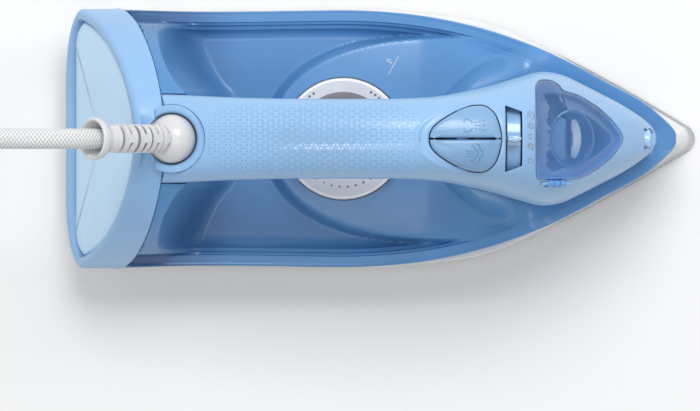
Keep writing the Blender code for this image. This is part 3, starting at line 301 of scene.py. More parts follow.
def loft(name, rings, material=None, angle=40.0):
    """A closed solid through rings of equally many points."""
    rings = np.asarray(rings, float)
    rows, count = rings.shape[:2]
    faces = []
    for i in range(rows - 1):
        a = i * count
        for k in range(count):
            j = (k + 1) % count
            faces.append((a + k, a + j, a + count + j, a + count + k))
    faces.append(tuple(range(count)))
    faces.append(tuple(range((rows - 1) * count, rows * count)))
    return mesh_object(name, rings.reshape(-1, 3), faces, material, angle)


def turned(name, profile, material=None, sides=96, place=None, start=0.0, sweep=math.tau, angle=40.0):
    """A solid turned about its own Z, from axis to axis, or a closed ring when its profile stays
    off the axis."""
    place = place or Matrix.Identity(4)
    full = sweep > math.tau - 1e-6
    steps = sides if full else sides + 1
    points, rows = [], []
    for radius, height in profile:
        if radius < 1e-6:
            points.append(place @ Vector((0.0, 0.0, height)))
            rows.append([len(points) - 1] * steps)
            continue
        row = []
        for k in range(steps):
            a = start + sweep * k / sides
            points.append(place @ Vector((radius * math.cos(a), radius * math.sin(a), height)))
            row.append(len(points) - 1)
        rows.append(row)
    pairs = list(zip(rows, rows[1:] + rows[:1])) if profile[0][0] > 1e-6 else list(zip(rows, rows[1:]))
    faces = []
    for low, high in pairs:
        for k in range(sides):
            j = (k + 1) % steps
            face = tuple(dict.fromkeys([low[k], low[j], high[j], high[k]]))
            if len(face) > 2:
                faces.append(face)
    if not full:
        faces.append(tuple(dict.fromkeys(row[0] for row in rows)))
        faces.append(tuple(dict.fromkeys(row[-1] for row in rows)))
    return mesh_object(name, points, faces, material, angle)


def aimed(origin, direction):
    turn = Vector(direction).to_track_quat("Z", "Y").to_matrix().to_4x4()
    return Matrix.Translation(Vector(origin)) @ turn


def rod(name, start, end, radius, material=None, sides=32):
    start, end = Vector(start), Vector(end)
    length = (end - start).length
    profile = [(0.0, 0.0), (radius, 0.0), (radius, length), (0.0, length)]
    return turned(name, profile, material, sides, aimed(start, end - start))


def flowing(points, steps):
    """Points along a smooth line through the given ones."""
    p = [Vector(q) for q in points]
    p = [2 * p[0] - p[1], *p, 2 * p[-1] - p[-2]]
    line = []
    for i in range(1, len(p) - 2):
        for k in range(steps):
            t = k / steps
            line.append(0.5 * (
                2 * p[i] + (p[i + 1] - p[i - 1]) * t
                + (2 * p[i - 1] - 5 * p[i] + 4 * p[i + 1] - p[i + 2]) * t**2
                + (3 * p[i] - p[i - 1] - 3 * p[i + 1] + p[i + 2]) * t**3
            ))
    return [*line, p[-2]]


def carried(line):
    """Directions across a line that turn with it and never twist."""
    line = [Vector(p) for p in line]
    last = len(line) - 1
    along = [(line[min(i + 1, last)] - line[max(i - 1, 0)]).normalized() for i in range(last + 1)]
    across, frames = along[0].orthogonal().normalized(), []
    for forward in along:
        across = (across - forward * across.dot(forward)).normalized()
        frames.append((across.copy(), forward.cross(across)))
    return frames


def tube(name, line, radius, material=None, sides=24):
    rings = []
    for point, (across, other) in zip(line, carried(line)):
        rings.append([
            Vector(point) + radius * (math.cos(math.tau * k / sides) * across + math.sin(math.tau * k / sides) * other)
            for k in range(sides)
        ])
    return loft(name, rings, material)


def cut(obj, cutter, operation="DIFFERENCE"):
    """A Boolean that is applied at once; its helper is removed."""
    step = obj.modifiers.new("cut", "BOOLEAN")
    step.operation = operation
    step.object = cutter
    old = obj.data
    for solver in ("MANIFOLD", "EXACT"):
        step.solver = solver
        graph = bpy.context.evaluated_depsgraph_get()
        made = bpy.data.meshes.new_from_object(obj.evaluated_get(graph))
        if len(made.vertices) != len(old.vertices):
            break
    obj.modifiers.clear()
    obj.data = made
    bpy.data.meshes.remove(old)
    bpy.data.objects.remove(cutter)
    return obj


def soften(obj, width, segments=2, angle=35.0):
    """Small rounds on the hard edges."""
    edge = obj.modifiers.new("edge", "BEVEL")
    edge.width = width * MM
    edge.segments = segments
    edge.limit_method = "ANGLE"
    edge.angle_limit = math.radians(angle)
    edge.harden_normals = False
    return obj


def prism(name, shape, low, high, material=None):
    return loft(name, [[(x, y, z) for x, y in shape] for z in (low, high)], material)


def place_piece(obj, body, *nodes, slot=None):
    """The piece moves with a body and stands for the CAD nodes named."""
    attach(obj, body)
    if nodes:
        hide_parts(*nodes)
    return obj


# ---------------------------------------------------------------- materials


class Paint:
    """A node material in the making. Patterns are laid out in millimetres in the object's own frame."""

    def __init__(self, name, colour, roughness, metallic=0.0, **sockets):
        self.material = bpy.data.materials.new(name)
        self.material.use_nodes = True
        self.tree = self.material.node_tree
        self.shader = self.tree.nodes["Principled BSDF"]
        self.colour = srgb(colour)
        self.shader.inputs["Base Color"].default_value = self.colour
        self.shader.inputs["Roughness"].default_value = roughness
        self.shader.inputs["Metallic"].default_value = metallic
        for socket, value in sockets.items():
            self.shader.inputs[socket.replace("_", " ")].default_value = value
        self.place = self.node("ShaderNodeTexCoord").outputs["Object"]
        self.bumps = None

    def node(self, kind, **settings):
        made = self.tree.nodes.new(kind)
        for key, value in settings.items():
            setattr(made, key, value)
        return made

    def put(self, value, socket):
        if isinstance(value, bpy.types.NodeSocket):
            self.tree.links.new(value, socket)
        elif value is not None:
            socket.default_value = value

    def math(self, operation, a, b=None, c=None):
        made = self.node("ShaderNodeMath", operation=operation)
        for socket, value in zip(made.inputs, (a, b, c)):
            self.put(value, socket)
        return made.outputs[0]

    def mix(self, share, a, b, blend="MIX"):
        made = self.node("ShaderNodeMix", data_type="RGBA", blend_type=blend)
        self.put(share, made.inputs["Factor"])
        self.put(a, made.inputs[6])
        self.put(b, made.inputs[7])
        return made.outputs[2]

    def noise(self, size, detail=3.0, roughness=0.55, stretch=(1.0, 1.0, 1.0)):
        """Noise whose features are about size millimetres across."""
        lay = self.node("ShaderNodeMapping")
        self.put(self.place, lay.inputs["Vector"])
        lay.inputs["Scale"].default_value = [1.0 / (size * MM * s) for s in stretch]
        made = self.node("ShaderNodeTexNoise")
        made.inputs["Scale"].default_value = 1.0
        made.inputs["Detail"].default_value = detail
        made.inputs["Roughness"].default_value = roughness
        self.put(lay.outputs[0], made.inputs["Vector"])
        return made.outputs["Fac"]

    def ranged(self, value, low, high, to_low=0.0, to_high=1.0, kind="SMOOTHSTEP"):
        made = self.node("ShaderNodeMapRange", interpolation_type=kind)
        for socket, number in zip(made.inputs[1:5], (low, high, to_low, to_high)):
            self.put(number, socket)
        self.put(value, made.inputs[0])
        return made.outputs[0]

    def axes(self):
        """The place as three numbers, in millimetres."""
        split = self.node("ShaderNodeSeparateXYZ")
        self.put(self.place, split.inputs[0])
        return [self.math("MULTIPLY", out, 1000.0) for out in split.outputs]

    def bump(self, height, depth, strength=1.0):
        """Relief of that depth in millimetres, on top of any earlier one."""
        made = self.node("ShaderNodeBump")
        made.inputs["Strength"].default_value = strength
        made.inputs["Distance"].default_value = depth * MM
        self.put(height, made.inputs["Height"])
        if self.bumps is not None:
            self.put(self.bumps, made.inputs["Normal"])
        self.bumps = made.outputs[0]
        self.put(self.bumps, self.shader.inputs["Normal"])

    def tint(self, value, other, most=1.0):
        """The base colour leans towards another one where the value is high."""
        base = self.shader.inputs["Base Color"]
        now = base.links[0].from_socket if base.links else self.colour
        if most != 1.0:
            value = self.math("MULTIPLY", value, most)
        self.put(self.mix(value, now, srgb(other)), base)

    def rough(self, value, low, high):
        self.put(self.ranged(value, 0.25, 0.75, low, high, "LINEAR"), self.shader.inputs["Roughness"])

    def moulded(self, size=0.55, depth=0.018, shade=0.06, low=None, high=None):
        """Fine spark-eroded grain, slow colour drift and rubbed patches, as on moulded plastic."""
        grain = self.noise(size, 2.0)
        self.bump(grain, depth)
        drift = self.noise(23.0, 2.0)
        darker = [c * (1.0 - 2.2 * shade) for c in self.colour[:3]]
        base = self.shader.inputs["Base Color"]
        now = base.links[0].from_socket if base.links else self.colour
        self.put(self.mix(self.ranged(drift, 0.35, 0.7), now, (*darker, 1.0)), base)
        if low is not None:
            self.rough(self.noise(6.0, 4.0), low, high)
        return self


def srgb(colour):
    """A linear colour from one written as 0 to 255."""
    if len(colour) == 4:
        return tuple(colour)
    linear = [c / 255 for c in colour]
    return (*[c / 12.92 if c < 0.04045 else ((c + 0.055) / 1.055) ** 2.4 for c in linear], 1.0)


def plastic(name, colour, low=0.3, high=0.42, size=0.55, depth=0.018, shade=0.05, **sockets):
    return Paint(name, colour, (low + high) / 2, **sockets).moulded(size, depth, shade, low, high).material


def metal(name, colour, low, high, stretch=(1.0, 1.0, 1.0), size=0.5, depth=0.01):
    """Drawn or cast metal: fine scratches along its working direction and stained patches."""
    paint = Paint(name, colour, (low + high) / 2, 1.0)
    lines = paint.noise(size, 4.0, 0.6, stretch)
    paint.bump(lines, depth)
    paint.rough(lines, low, high)
    paint.tint(paint.ranged(paint.noise(9.0, 4.0), 0.5, 0.8), [c * 0.72 for c in colour], 0.5)
    return paint.material


def braid(name):
    """A textile sleeve: white strands that cross each other round the cord, with painted shade: grey
    where the strands dip into the gaps between them."""
    paint = Paint(name, (238, 239, 239), 0.78, Sheen_Weight=0.3, Sheen_Roughness=0.45)
    read = paint.node("ShaderNodeAttribute", attribute_name="lay")
    split = paint.node("ShaderNodeSeparateXYZ")
    paint.put(read.outputs["Vector"], split.inputs[0])
    along, around = split.outputs[0], split.outputs[1]
    strands, pitch = 12.0, 0.62
    one = paint.math("ADD", paint.math("MULTIPLY", along, pitch), paint.math("MULTIPLY", around, strands))
    two = paint.math("SUBTRACT", paint.math("MULTIPLY", along, pitch),
        paint.math("MULTIPLY", around, strands))
    ridges = []
    for value in (one, two):
        part = paint.math("FRACT", value)
        bow = paint.math("MULTIPLY", part, paint.math("SUBTRACT", 1.0, part))
        ridges.append(paint.math("MULTIPLY", bow, 4.0))
    weave = paint.math("FRACT", paint.math("MULTIPLY",
        paint.math("ADD", paint.math("FLOOR", one), paint.math("FLOOR", two)), 0.5))
    over = paint.math("GREATER_THAN", weave, 0.25)
    first = paint.math("MULTIPLY", ridges[0], paint.math("MULTIPLY_ADD", over, 0.5, 0.5))
    second = paint.math("MULTIPLY", ridges[1], paint.math("MULTIPLY_ADD", over, -0.5, 1.0))
    height = paint.math("MAXIMUM", first, second)
    fibres = paint.math("SINE", paint.math("MULTIPLY",
        paint.math("ADD", one, paint.math("MULTIPLY", two, 0.15)), 38.0))
    paint.bump(height, 0.34)
    paint.bump(fibres, 0.02)
    # painted shade: grey where the braid's height is low, between the strands
    paint.tint(paint.ranged(height, 0.25, 0.8, 1.0, 0.0), (150, 153, 158), 0.75)
    paint.tint(paint.ranged(paint.noise(3.2, 3.0), 0.52, 0.75), (205, 207, 210), 0.5)
    paint.rough(height, 0.85, 0.7)
    return paint.material


def brushed(name):
    """The sole's steel: long fine brush lines and darker patches."""
    paint = Paint(name, (176, 178, 181), 0.3, 1.0)
    lines = paint.noise(0.25, 5.0, 0.65, (60.0, 1.0, 1.0))
    paint.bump(lines, 0.012)
    paint.rough(lines, 0.22, 0.38)
    paint.tint(paint.ranged(paint.noise(14.0, 3.0), 0.5, 0.75), (150, 152, 156), 0.5)
    return paint.material


def tank_plastic(name, colour, pocket_shade):
    """Tinted clear plastic under a gloss coat, with painted shade: its colour is painted deeper low down
    and towards the rear, where the pockets lie in shade."""
    paint = Paint(name, colour, 0.3, Coat_Weight=0.22, Coat_Roughness=0.16, Specular_IOR_Level=0.4)
    x, _, z = paint.axes()
    low = paint.ranged(z, 40.0, 62.0, 1.0, 0.0)
    rear = paint.ranged(x, -108.0, -62.0, 1.0, 0.0)
    # painted shade: the colour deepens low down and towards the rear, in the pockets
    paint.tint(paint.math("MULTIPLY", low, 0.12), pocket_shade)
    paint.tint(paint.math("MULTIPLY", rear, paint.ranged(z, 44.0, 90.0, 0.75, 0.1)), pocket_shade)
    paint.bump(paint.noise(5.0, 2.0), 0.02)
    paint.bump(paint.noise(0.3, 2.0), 0.003)
    paint.tint(paint.ranged(paint.noise(30.0, 2.0), 0.4, 0.7), [c * 0.9 for c in colour], 0.3)
    paint.rough(paint.noise(8.0, 4.0), 0.27, 0.36)
    return paint.material


def clear_door(name):
    """Clear blue plastic: thin in the middle, thicker and bluer along its rim, with a painted highlight that lightens
    the rim towards the front and the lower side.
    """
    paint = Paint(name, (92, 142, 204), 0.1, Coat_Weight=0.1, Coat_Roughness=0.06, Alpha=0.3)
    read = paint.node("ShaderNodeAttribute", attribute_name="rim")
    rim = read.outputs["Fac"]
    paint.put(paint.ranged(rim, 0.0, 1.0, 0.2, 0.7), paint.shader.inputs["Alpha"])
    paint.tint(rim, (70, 114, 172), 0.9)
    x, y, _ = paint.axes()
    # painted highlight: the rim is lighter towards the front and the lower side
    front = paint.ranged(paint.math("SUBTRACT", paint.math("MULTIPLY", x, 0.5), y), 36.0, 52.0)
    paint.tint(paint.math("MULTIPLY", front, rim), (98, 160, 236), 0.85)
    paint.bump(paint.noise(4.0, 2.0), 0.004)
    paint.rough(paint.noise(3.0, 4.0), 0.06, 0.1)
    return paint.material


HANDLE = (142, 183, 223)
PALE = plastic("pale_blue", HANDLE, 0.32, 0.42, 0.5, 0.012, 0.012, Coat_Weight=0.12, Coat_Roughness=0.2)
# painted shade: the studs are the handle's blue painted darker for the shade on their facets, and glossier
STUD_SHADED = plastic("grip_stud", (128, 169, 209), 0.13, 0.17, 0.4, 0.003, 0.02, Coat_Weight=1.0,
    Coat_Roughness=0.1, Specular_IOR_Level=1.0)
SKIN = plastic("heel_skin", (140, 182, 224), 0.34, 0.44, shade=0.012, Coat_Weight=0.1, Coat_Roughness=0.2)
HEEL_PLATE = plastic("heel_plate", (198, 230, 255), 0.4, 0.5, 0.7, 0.02, 0.012)
# the second colour is the painted shade of the low and rear pockets
TANK = tank_plastic("tank_blue", (88, 143, 197), (38, 72, 120))
DOOR = clear_door("door_blue")
# painted shade: the raised button marks are a darker blue than the button, for the shade along them
MARK_SHADE_BLUE = plastic("mark_shade_blue", (104, 142, 182), 0.4, 0.5, 0.4, 0.006)
BUTTON = plastic("button_blue", (126, 166, 205), 0.3, 0.38, Coat_Weight=0.15, Coat_Roughness=0.15)
DRUM = plastic("drum_blue", (140, 182, 222), 0.18, 0.25, 0.4, 0.006, Coat_Weight=0.5, Coat_Roughness=0.08)
KNOB = plastic("knob_blue", (176, 212, 242), 0.22, 0.3, 0.4, 0.006, Coat_Weight=0.3, Coat_Roughness=0.1)
RECESS = plastic("recess_blue", (104, 160, 226), 0.25, 0.35, 0.5, 0.01)
TRAY_BLUE = plastic("tray_blue", (56, 92, 150), 0.25, 0.35, 0.5, 0.01)
FILLER_BLUE = plastic("filler_blue", (128, 172, 210), 0.2, 0.3, 0.5, 0.01)
RIB_DARK = plastic("rib_dark", (58, 84, 122), 0.3, 0.4, 0.5, 0.01)
FLAP = plastic("flap_pale", (226, 240, 248), 0.2, 0.3, 0.5, 0.01)
FUNNEL = plastic("funnel_blue", (132, 168, 200), 0.2, 0.3, 0.5, 0.01)
SKIRT = plastic("skirt_white", (236, 237, 238), 0.35, 0.45, 0.8, 0.02)
WHITE = plastic("white_plastic", (211, 211, 212), 0.24, 0.32, 0.5, 0.01, Coat_Weight=0.2, Coat_Roughness=0.12)
# painted shade: grey for the deep faces of the guard's slots
SLOT_SHADE = plastic("slot_shade", (148, 150, 154), 0.5, 0.6, 0.5, 0.01)
INNER = plastic("inner_white", (224, 225, 222), 0.4, 0.5, 0.8, 0.03)
DIAL_WHITE = plastic("dial_white", (216, 219, 225), 0.3, 0.4, 0.4, 0.012)
DIAL_GREY = plastic("dial_grey", (124, 118, 126), 0.4, 0.5, 0.5, 0.02)
PRINT = plastic("print_grey", (112, 104, 112), 0.5, 0.6, 0.3, 0.01)
PRINT_PALE = plastic("print_pale", (224, 226, 226), 0.5, 0.6, 0.3, 0.01)
PRINT_WARM = plastic("print_warm", (150, 134, 128), 0.5, 0.6, 0.3, 0.01)
SILICONE = plastic("silicone", (206, 208, 206), 0.55, 0.65, 0.5, 0.02)
BRAID = braid("braid")
SOLE = brushed("sole_steel")
STEEL = metal("bright_steel", (178, 180, 184), 0.22, 0.38, (1, 1, 8))
SPRING = metal("spring_steel", (150, 152, 156), 0.25, 0.4, (1, 1, 4))
HEATER = metal("heater_steel", (120, 112, 104), 0.35, 0.55, (4, 1, 1))
CAST = metal("cast_aluminium", (158, 160, 163), 0.45, 0.62, (1, 1, 1), 1.1, 0.12)
BRASS = metal("brass", (200, 166, 96), 0.26, 0.42, (1, 1, 3))
NICKEL = metal("pin_nickel", (196, 192, 184), 0.2, 0.34, (8, 1, 1))
LIVE = plastic("wire_live", (116, 70, 44), 0.4, 0.5, 0.5, 0.02)
NEUTRAL = plastic("wire_neutral", (48, 92, 168), 0.4, 0.5, 0.5, 0.02)
EARTH = plastic("wire_earth", (120, 160, 60), 0.4, 0.5, 0.5, 0.02)


# ---------------------------------------------------------------- outlines on a surface


def distances(x, y, line):
    """How far each point is from a line of points."""
    line = np.asarray(line, float)
    a, b = line[:-1], line[1:]
    run = b - a
    length = np.maximum((run**2).sum(1), 1e-12)
    flat = np.stack([np.ravel(x), np.ravel(y)], 1)
    found = np.empty(len(flat))
    for i in range(0, len(flat), 6000):
        p = flat[i:i + 6000, None, :]
        t = np.clip(((p - a) * run).sum(2) / length, 0.0, 1.0)
        found[i:i + 6000] = np.sqrt((((a + t[..., None] * run) - p) ** 2).sum(2).min(1))
    return found.reshape(np.shape(x))


def inside(x, y, loop):
    """Whether each point is inside a closed outline."""
    loop = np.asarray(loop, float)
    result = np.zeros(np.shape(x), bool)
    for (ax, ay), (bx, by) in zip(loop, np.roll(loop, -1, 0)):
        if ay == by:
            continue
        crosses = (ay > y) != (by > y)
        result ^= crosses & (x < (bx - ax) * (y - ay) / (by - ay) + ax)
    return result


def rounded(points, steps=6, closed=True):
    """A smooth closed outline through the points."""
    p = [Vector((*q, 0.0)) for q in points]
    if closed:
        p = [p[-1], *p, p[0], p[1]]
    else:
        p = [2 * p[0] - p[1], *p, 2 * p[-1] - p[-2]]
    line = []
    for i in range(1, len(p) - 2):
        for k in range(steps):
            t = k / steps
            q = 0.5 * (
                2 * p[i] + (p[i + 1] - p[i - 1]) * t
                + (2 * p[i - 1] - 5 * p[i] + 4 * p[i + 1] - p[i + 2]) * t**2
                + (3 * p[i] - p[i - 1] - 3 * p[i + 1] + p[i + 2]) * t**3
            )
            line.append((q.x, q.y))
    if not closed:
        line.append((p[-2].x, p[-2].y))
    return np.array(line)


def cornered(points, radius, steps=5):
    """An outline with straight sides and round corners."""
    pts = [Vector(p) for p in points]
    line = []
    for i, at in enumerate(pts):
        back = (pts[i - 1] - at)
        ahead = (pts[(i + 1) % len(pts)] - at)
        reach = min(radius, 0.45 * back.length, 0.45 * ahead.length)
        a, b = at + back.normalized() * reach, at + ahead.normalized() * reach
        for k in range(steps + 1):
            t = k / steps
            line.append(tuple((1 - t) ** 2 * a + 2 * t * (1 - t) * at + t * t * b))
    return np.array(line)


def offset(loop, amount):
    """A closed outline moved outwards by the amount."""
    loop = np.asarray(loop, float)
    ahead = np.roll(loop, -1, 0) - np.roll(loop, 1, 0)
    normal = np.stack([ahead[:, 1], -ahead[:, 0]], 1)
    normal /= np.maximum(np.linalg.norm(normal, axis=1, keepdims=True), 1e-9)
    area = (loop[:, 0] * np.roll(loop[:, 1], -1) - np.roll(loop[:, 0], -1) * loop[:, 1]).sum()
    return loop + normal * amount * (1.0 if area > 0 else -1.0)


def inlaid(name, loop, centre, levels, floor, material, inner_rings=14, angle=40.0, attribute=None):
    """A sheet that follows a surface: rings of its outline at given insets, then rings that close
    on its centre."""
    loop, centre = np.asarray(loop, float), np.asarray(centre, float)
    count = len(loop)
    rings, outline_last = [], loop
    for inset, height in levels:
        ring = offset(loop, -inset) if inset else loop
        rings.append(np.column_stack([ring, height(ring[:, 0], ring[:, 1])]))
        outline_last, top = ring, height
    for k in range(1, inner_rings):
        ring = centre + (outline_last - centre) * (1.0 - k / inner_rings)
        rings.append(np.column_stack([ring, top(ring[:, 0], ring[:, 1])]))
    points = np.concatenate(rings)
    faces = []
    for i in range(len(rings) - 1):
        for k in range(count):
            j = (k + 1) % count
            faces.append((i * count + k, i * count + j, (i + 1) * count + j, (i + 1) * count + k))
    last = (len(rings) - 1) * count
    tip = len(points)
    points = np.vstack([points, [*centre, float(top(centre[0], centre[1]))]])
    for k in range(count):
        faces.append((last + k, last + (k + 1) % count, tip))
    under = np.column_stack([loop, floor(loop[:, 0], loop[:, 1])])
    base = len(points)
    points = np.vstack([points, under, [*centre, float(floor(centre[0], centre[1]))]])
    for k in range(count):
        j = (k + 1) % count
        faces.append((k, base + k, base + j, j))
        faces.append((base + k, base + count, base + j))
    obj = mesh_object(name, points, faces, material, angle)
    if attribute:
        values = attribute(points[:, 0], points[:, 1])
        made = obj.data.attributes.new("rim", "FLOAT", "POINT")
        made.data.foreach_set("value", np.asarray(values, np.float32))
    return obj


def strokes(name, lines, radius, height, material, sides=8):
    """Raised or printed lines that lie on a surface, as one piece."""
    points, faces = [], []
    for line in lines:
        line = [Vector((px, py, float(height(px, py)))) for px, py in line]
        base = len(points)
        for point, (across, other) in zip(line, carried(line)):
            for k in range(sides):
                a = math.tau * k / sides
                points.append(point + radius * (math.cos(a) * across + math.sin(a) * other))
        for i in range(len(line) - 1):
            for k in range(sides):
                j = (k + 1) % sides
                a = base + i * sides
                faces.append((a + k, a + j, a + sides + j, a + sides + k))
        faces.append(tuple(base + k for k in range(sides)))
        faces.append(tuple(base + (len(line) - 1) * sides + k for k in range(sides)))
    return mesh_object(name, points, faces, material, 60.0)


def dot_marks(name, spots, height, material, thick=0.05, sides=20):
    """Printed round dots."""
    points, faces = [], []
    for x, y, radius in spots:
        base = len(points)
        z = float(height(x, y))
        for level, r in ((z - 0.1, radius), (z + thick, radius), (z + thick + 0.01, radius * 0.6)):
            points += [(x + r * math.cos(math.tau * k / sides), y + r * math.sin(math.tau * k / sides), level)
                       for k in range(sides)]
        for i in (0, 1):
            for k in range(sides):
                j = (k + 1) % sides
                a = base + i * sides
                faces.append((a + k, a + j, a + sides + j, a + sides + k))
        faces.append(tuple(base + 2 * sides + k for k in range(sides)))
        faces.append(tuple(base + k for k in range(sides)))
    return mesh_object(name, points, faces, material, 60.0)


def arc(cx, cy, radius, start, end, count=10):
    return [(cx + radius * math.cos(math.radians(start + (end - start) * k / count)),
             cy + radius * math.sin(math.radians(start + (end - start) * k / count))) for k in range(count + 1)]


# ---------------------------------------------------------------- tank and handle


def plan_fine(half, rear, front, corner, count=90):
    """The outline of one level of the sole: round rear corners, sides that close at the tip."""
    side = []
    for k in range(13):
        angle = math.pi / 2 * k / 12
        side.append((rear + corner * (1 - math.sin(angle)),
            float(half(rear + corner)) - corner * (1 - math.cos(angle))))
    side = [(x, y) for x, y in reversed(side)]
    span = front - rear - corner
    for k in range(count):
        x = rear + corner + span * (1.0 - (1.0 - (k + 1) / (count + 1)) ** 1.8)
        side.append((x, max(0.2, float(half(x)))))
    lower = [(x, -y) for x, y in side]
    return np.array([*lower, (front, 0.0), *reversed(side)])


heel_lip = curve([(0, -88.0), (12, -89.0), (21.3, -91.3), (25.5, -95.2), (32.4, -99.8), (40, -103.2),
    (47, -105.4), (52, -106)])
LIP_STEPS = ((0.0, 1.0), (0.05, 0.9), (0.2, 0.84), (0.27, 0.66), (0.5, 0.55), (0.58, 0.38), (0.8, 0.14),
    (1.0, 0.04), (1.25, 0.0))


def tank_skin(x, y):
    """The tank's top as it looks: crisp lips round the pockets, a stepped wall inside them and a
    creased dome."""
    y = np.abs(y)
    outer, inner, fall = rim_inner(x)
    rim = tank_edge_z(x)
    reach = (np.maximum(0.0, 25.0 - x) / 77.7) ** 2.3 + (y / 47.0) ** 2.3
    ahead = np.maximum(0.0, x - 16.0)
    dome = DOME_LEVEL - 2.5 * np.minimum(1.2, reach) + 0.36 * ahead**2 / (ahead + 10.0)
    t = np.clip((1.16 - reach) / 0.16, 0.0, 1.4)
    shallow = smooth((x + 20.0) / 50.0)
    creased = 0.5 * (t**1.9 + 1.0 - np.sqrt((t**1.9 - 1.0) ** 2 + 0.02 * t))
    level = POCKET_LEVEL + (dome - POCKET_LEVEL) * (creased * (1.0 - shallow) + smooth(t) * shallow)
    depth = np.clip((inner - y) / fall, 0.0, 1.3)
    share = np.interp(depth, [p[0] for p in LIP_STEPS], [p[1] for p in LIP_STEPS])
    level = level + (rim - 0.3 - level) * share
    heel = arch_height(y) - 1.5
    drop = np.clip((x - heel_lip(y)) / 21.0, 0.0, 1.0)
    climb = (1.0 - drop) ** 2.1 * (1.0 - smooth((y - inner + 2.0) / 2.0))
    level = level + (np.maximum(heel, level) - level) * climb
    side = handle_half(x)
    level = np.where((y < side) & (x < 0.0), np.minimum(level, handle_floor(x, y) - 2.2), level)
    wall = smooth((x - 27.0 - 1.2 * np.maximum(0.0, y - side)) / 12.0)
    wall = wall * (1.0 - smooth((y - side) / 14.0))
    level = level + (np.maximum(plateau_z(x), level) - level) * wall
    under = (y < side) & (x > 20.0)
    level = np.where(under, np.minimum(level, plateau_z(x)), level)
    out = np.maximum((y - side) / np.maximum(0.5, outer - 1.0 - side), (x - 127.0) / 10.0)
    band = np.where((y < side - 0.8) & (x < 127.4), plateau_z(x),
        rim - 0.2 - 2.0 * (1.0 - np.clip(out, 0.0, 1.0)) ** 1.3)
    level = level + (band - level) * smooth((x - 44.0) / 36.0)
    return np.minimum(level, rear_limit_z(x, 1.1))


def make_tank():
    """One clear blue moulding: rim, rear pockets, dome and the seat for the dial."""
    xs = np.concatenate([
        np.arange(-128.5, -112.0, 1.5), np.arange(-112.0, -84.0, 0.45), np.arange(-84.0, 64.0, 0.8),
        np.arange(64.0, 128.0, 1.0), np.arange(128.0, 141.2, 0.4),
    ])
    rings = []
    for x in xs:
        edge, (outer, inner, fall) = float(tank_edge_z(x)), (float(v) for v in rim_inner(x))
        round_off = min(1.3, 0.3 * (edge - BODY_BASE), 0.25 * outer)
        side = []
        for t in (0.0, 0.35, 0.7, 1.0):
            z = BODY_BASE + (edge - round_off - BODY_BASE) * t
            side.append((max(0.15, float(body_half(x, z))), z))
        for t in (22.5, 45.0, 67.5):
            a = math.radians(t)
            side.append((outer - round_off * (1 - math.cos(a)), edge - round_off * (1 - math.sin(a))))
        flat = [outer - round_off - (outer - round_off - inner) * t for t in (0.0, 0.35, 0.7, 0.92)]
        drop = [inner - fall * t for t in (0.0, 0.05, 0.12, 0.2, 0.24, 0.27, 0.36, 0.5, 0.54, 0.58, 0.68,
            0.8, 0.9, 1.0, 1.12, 1.25)]
        drop = [v for v in drop if v > 0.2 * inner]
        rest = np.linspace(drop[-1], 0.0, 62 + 16 - len(drop))[1:-1]
        ys = np.array([*flat, *drop, *rest])
        zs = tank_skin(x, ys)
        if x < 44.0:
            zs[: len(flat)] = np.minimum(zs[: len(flat)].max(), np.maximum(zs[: len(flat)], edge - 0.3))
        half = [(x, -v, z) for v, z in side] + [(x, -v, z) for v, z in zip(ys, zs)]
        middle = (x, 0.0, float(tank_skin(x, 0.0)))
        rings.append([*half, middle, *[(px, -py, pz) for px, py, pz in reversed(half)]])
    shell = loft("tank_body", rings, TANK)
    hollow_rings = []
    for x in [v for v in xs[::6] if -112 < v < 122]:
        outer, _, _ = (float(v) for v in rim_inner(x))
        ys = np.linspace(outer - 3.2, 0.0, 26)
        near = [tank_skin(x + dx, np.minimum(ys + dy, outer - 0.2)) for dx in (-3.0, 0.0,
            3.0) for dy in (-2.6, 0.0, 2.6)]
        zs = np.maximum(np.min(near, axis=0) - WALL, BODY_BASE + 1.0)
        near_dial = np.hypot(x - DIAL_X, ys) < DIAL_RADIUS + 5.0
        zs = np.where(near_dial, np.minimum(zs, DIAL_SEAT - WALL), zs)
        half = [(x, -(outer - 3.2), BODY_BASE - 3.0), *[(x, -v, z) for v, z in zip(ys[:-1], zs[:-1])]]
        hollow_rings.append([*half, (x, 0.0, float(zs[-1])),
            *[(px, -py, pz) for px, py, pz in reversed(half)]])
    cut(shell, loft("tank_hollow", hollow_rings))
    seat = [(0.0, DIAL_SEAT), (DIAL_RADIUS + 0.22, DIAL_SEAT), (DIAL_RADIUS + 0.25, 80.0), (0.0, 80.0)]
    cut(shell, turned("seat", seat, None, 128, Matrix.Translation((DIAL_X, 0, 0))))
    for x, y, radius, low, high in (
        (DIAL_X, 0.0, 3.8, 40.0, 60.0), (57.5, 0.0, 2.2, 75.0, 95.0), (44.0, -11.0, 2.4, 90.0, 110.0),
        (42.5, 0.0, 2.4, 90.0, 110.0), (FILLER_X, 0.0, 10.2, 60.0, 90.0),
    ):
        cut(shell, rod("hole", (x, y, low), (x, y, high), radius))
    shade(shell, 28.0)
    place_piece(shell, "iron", "tank_shell", slot="tank_blue")


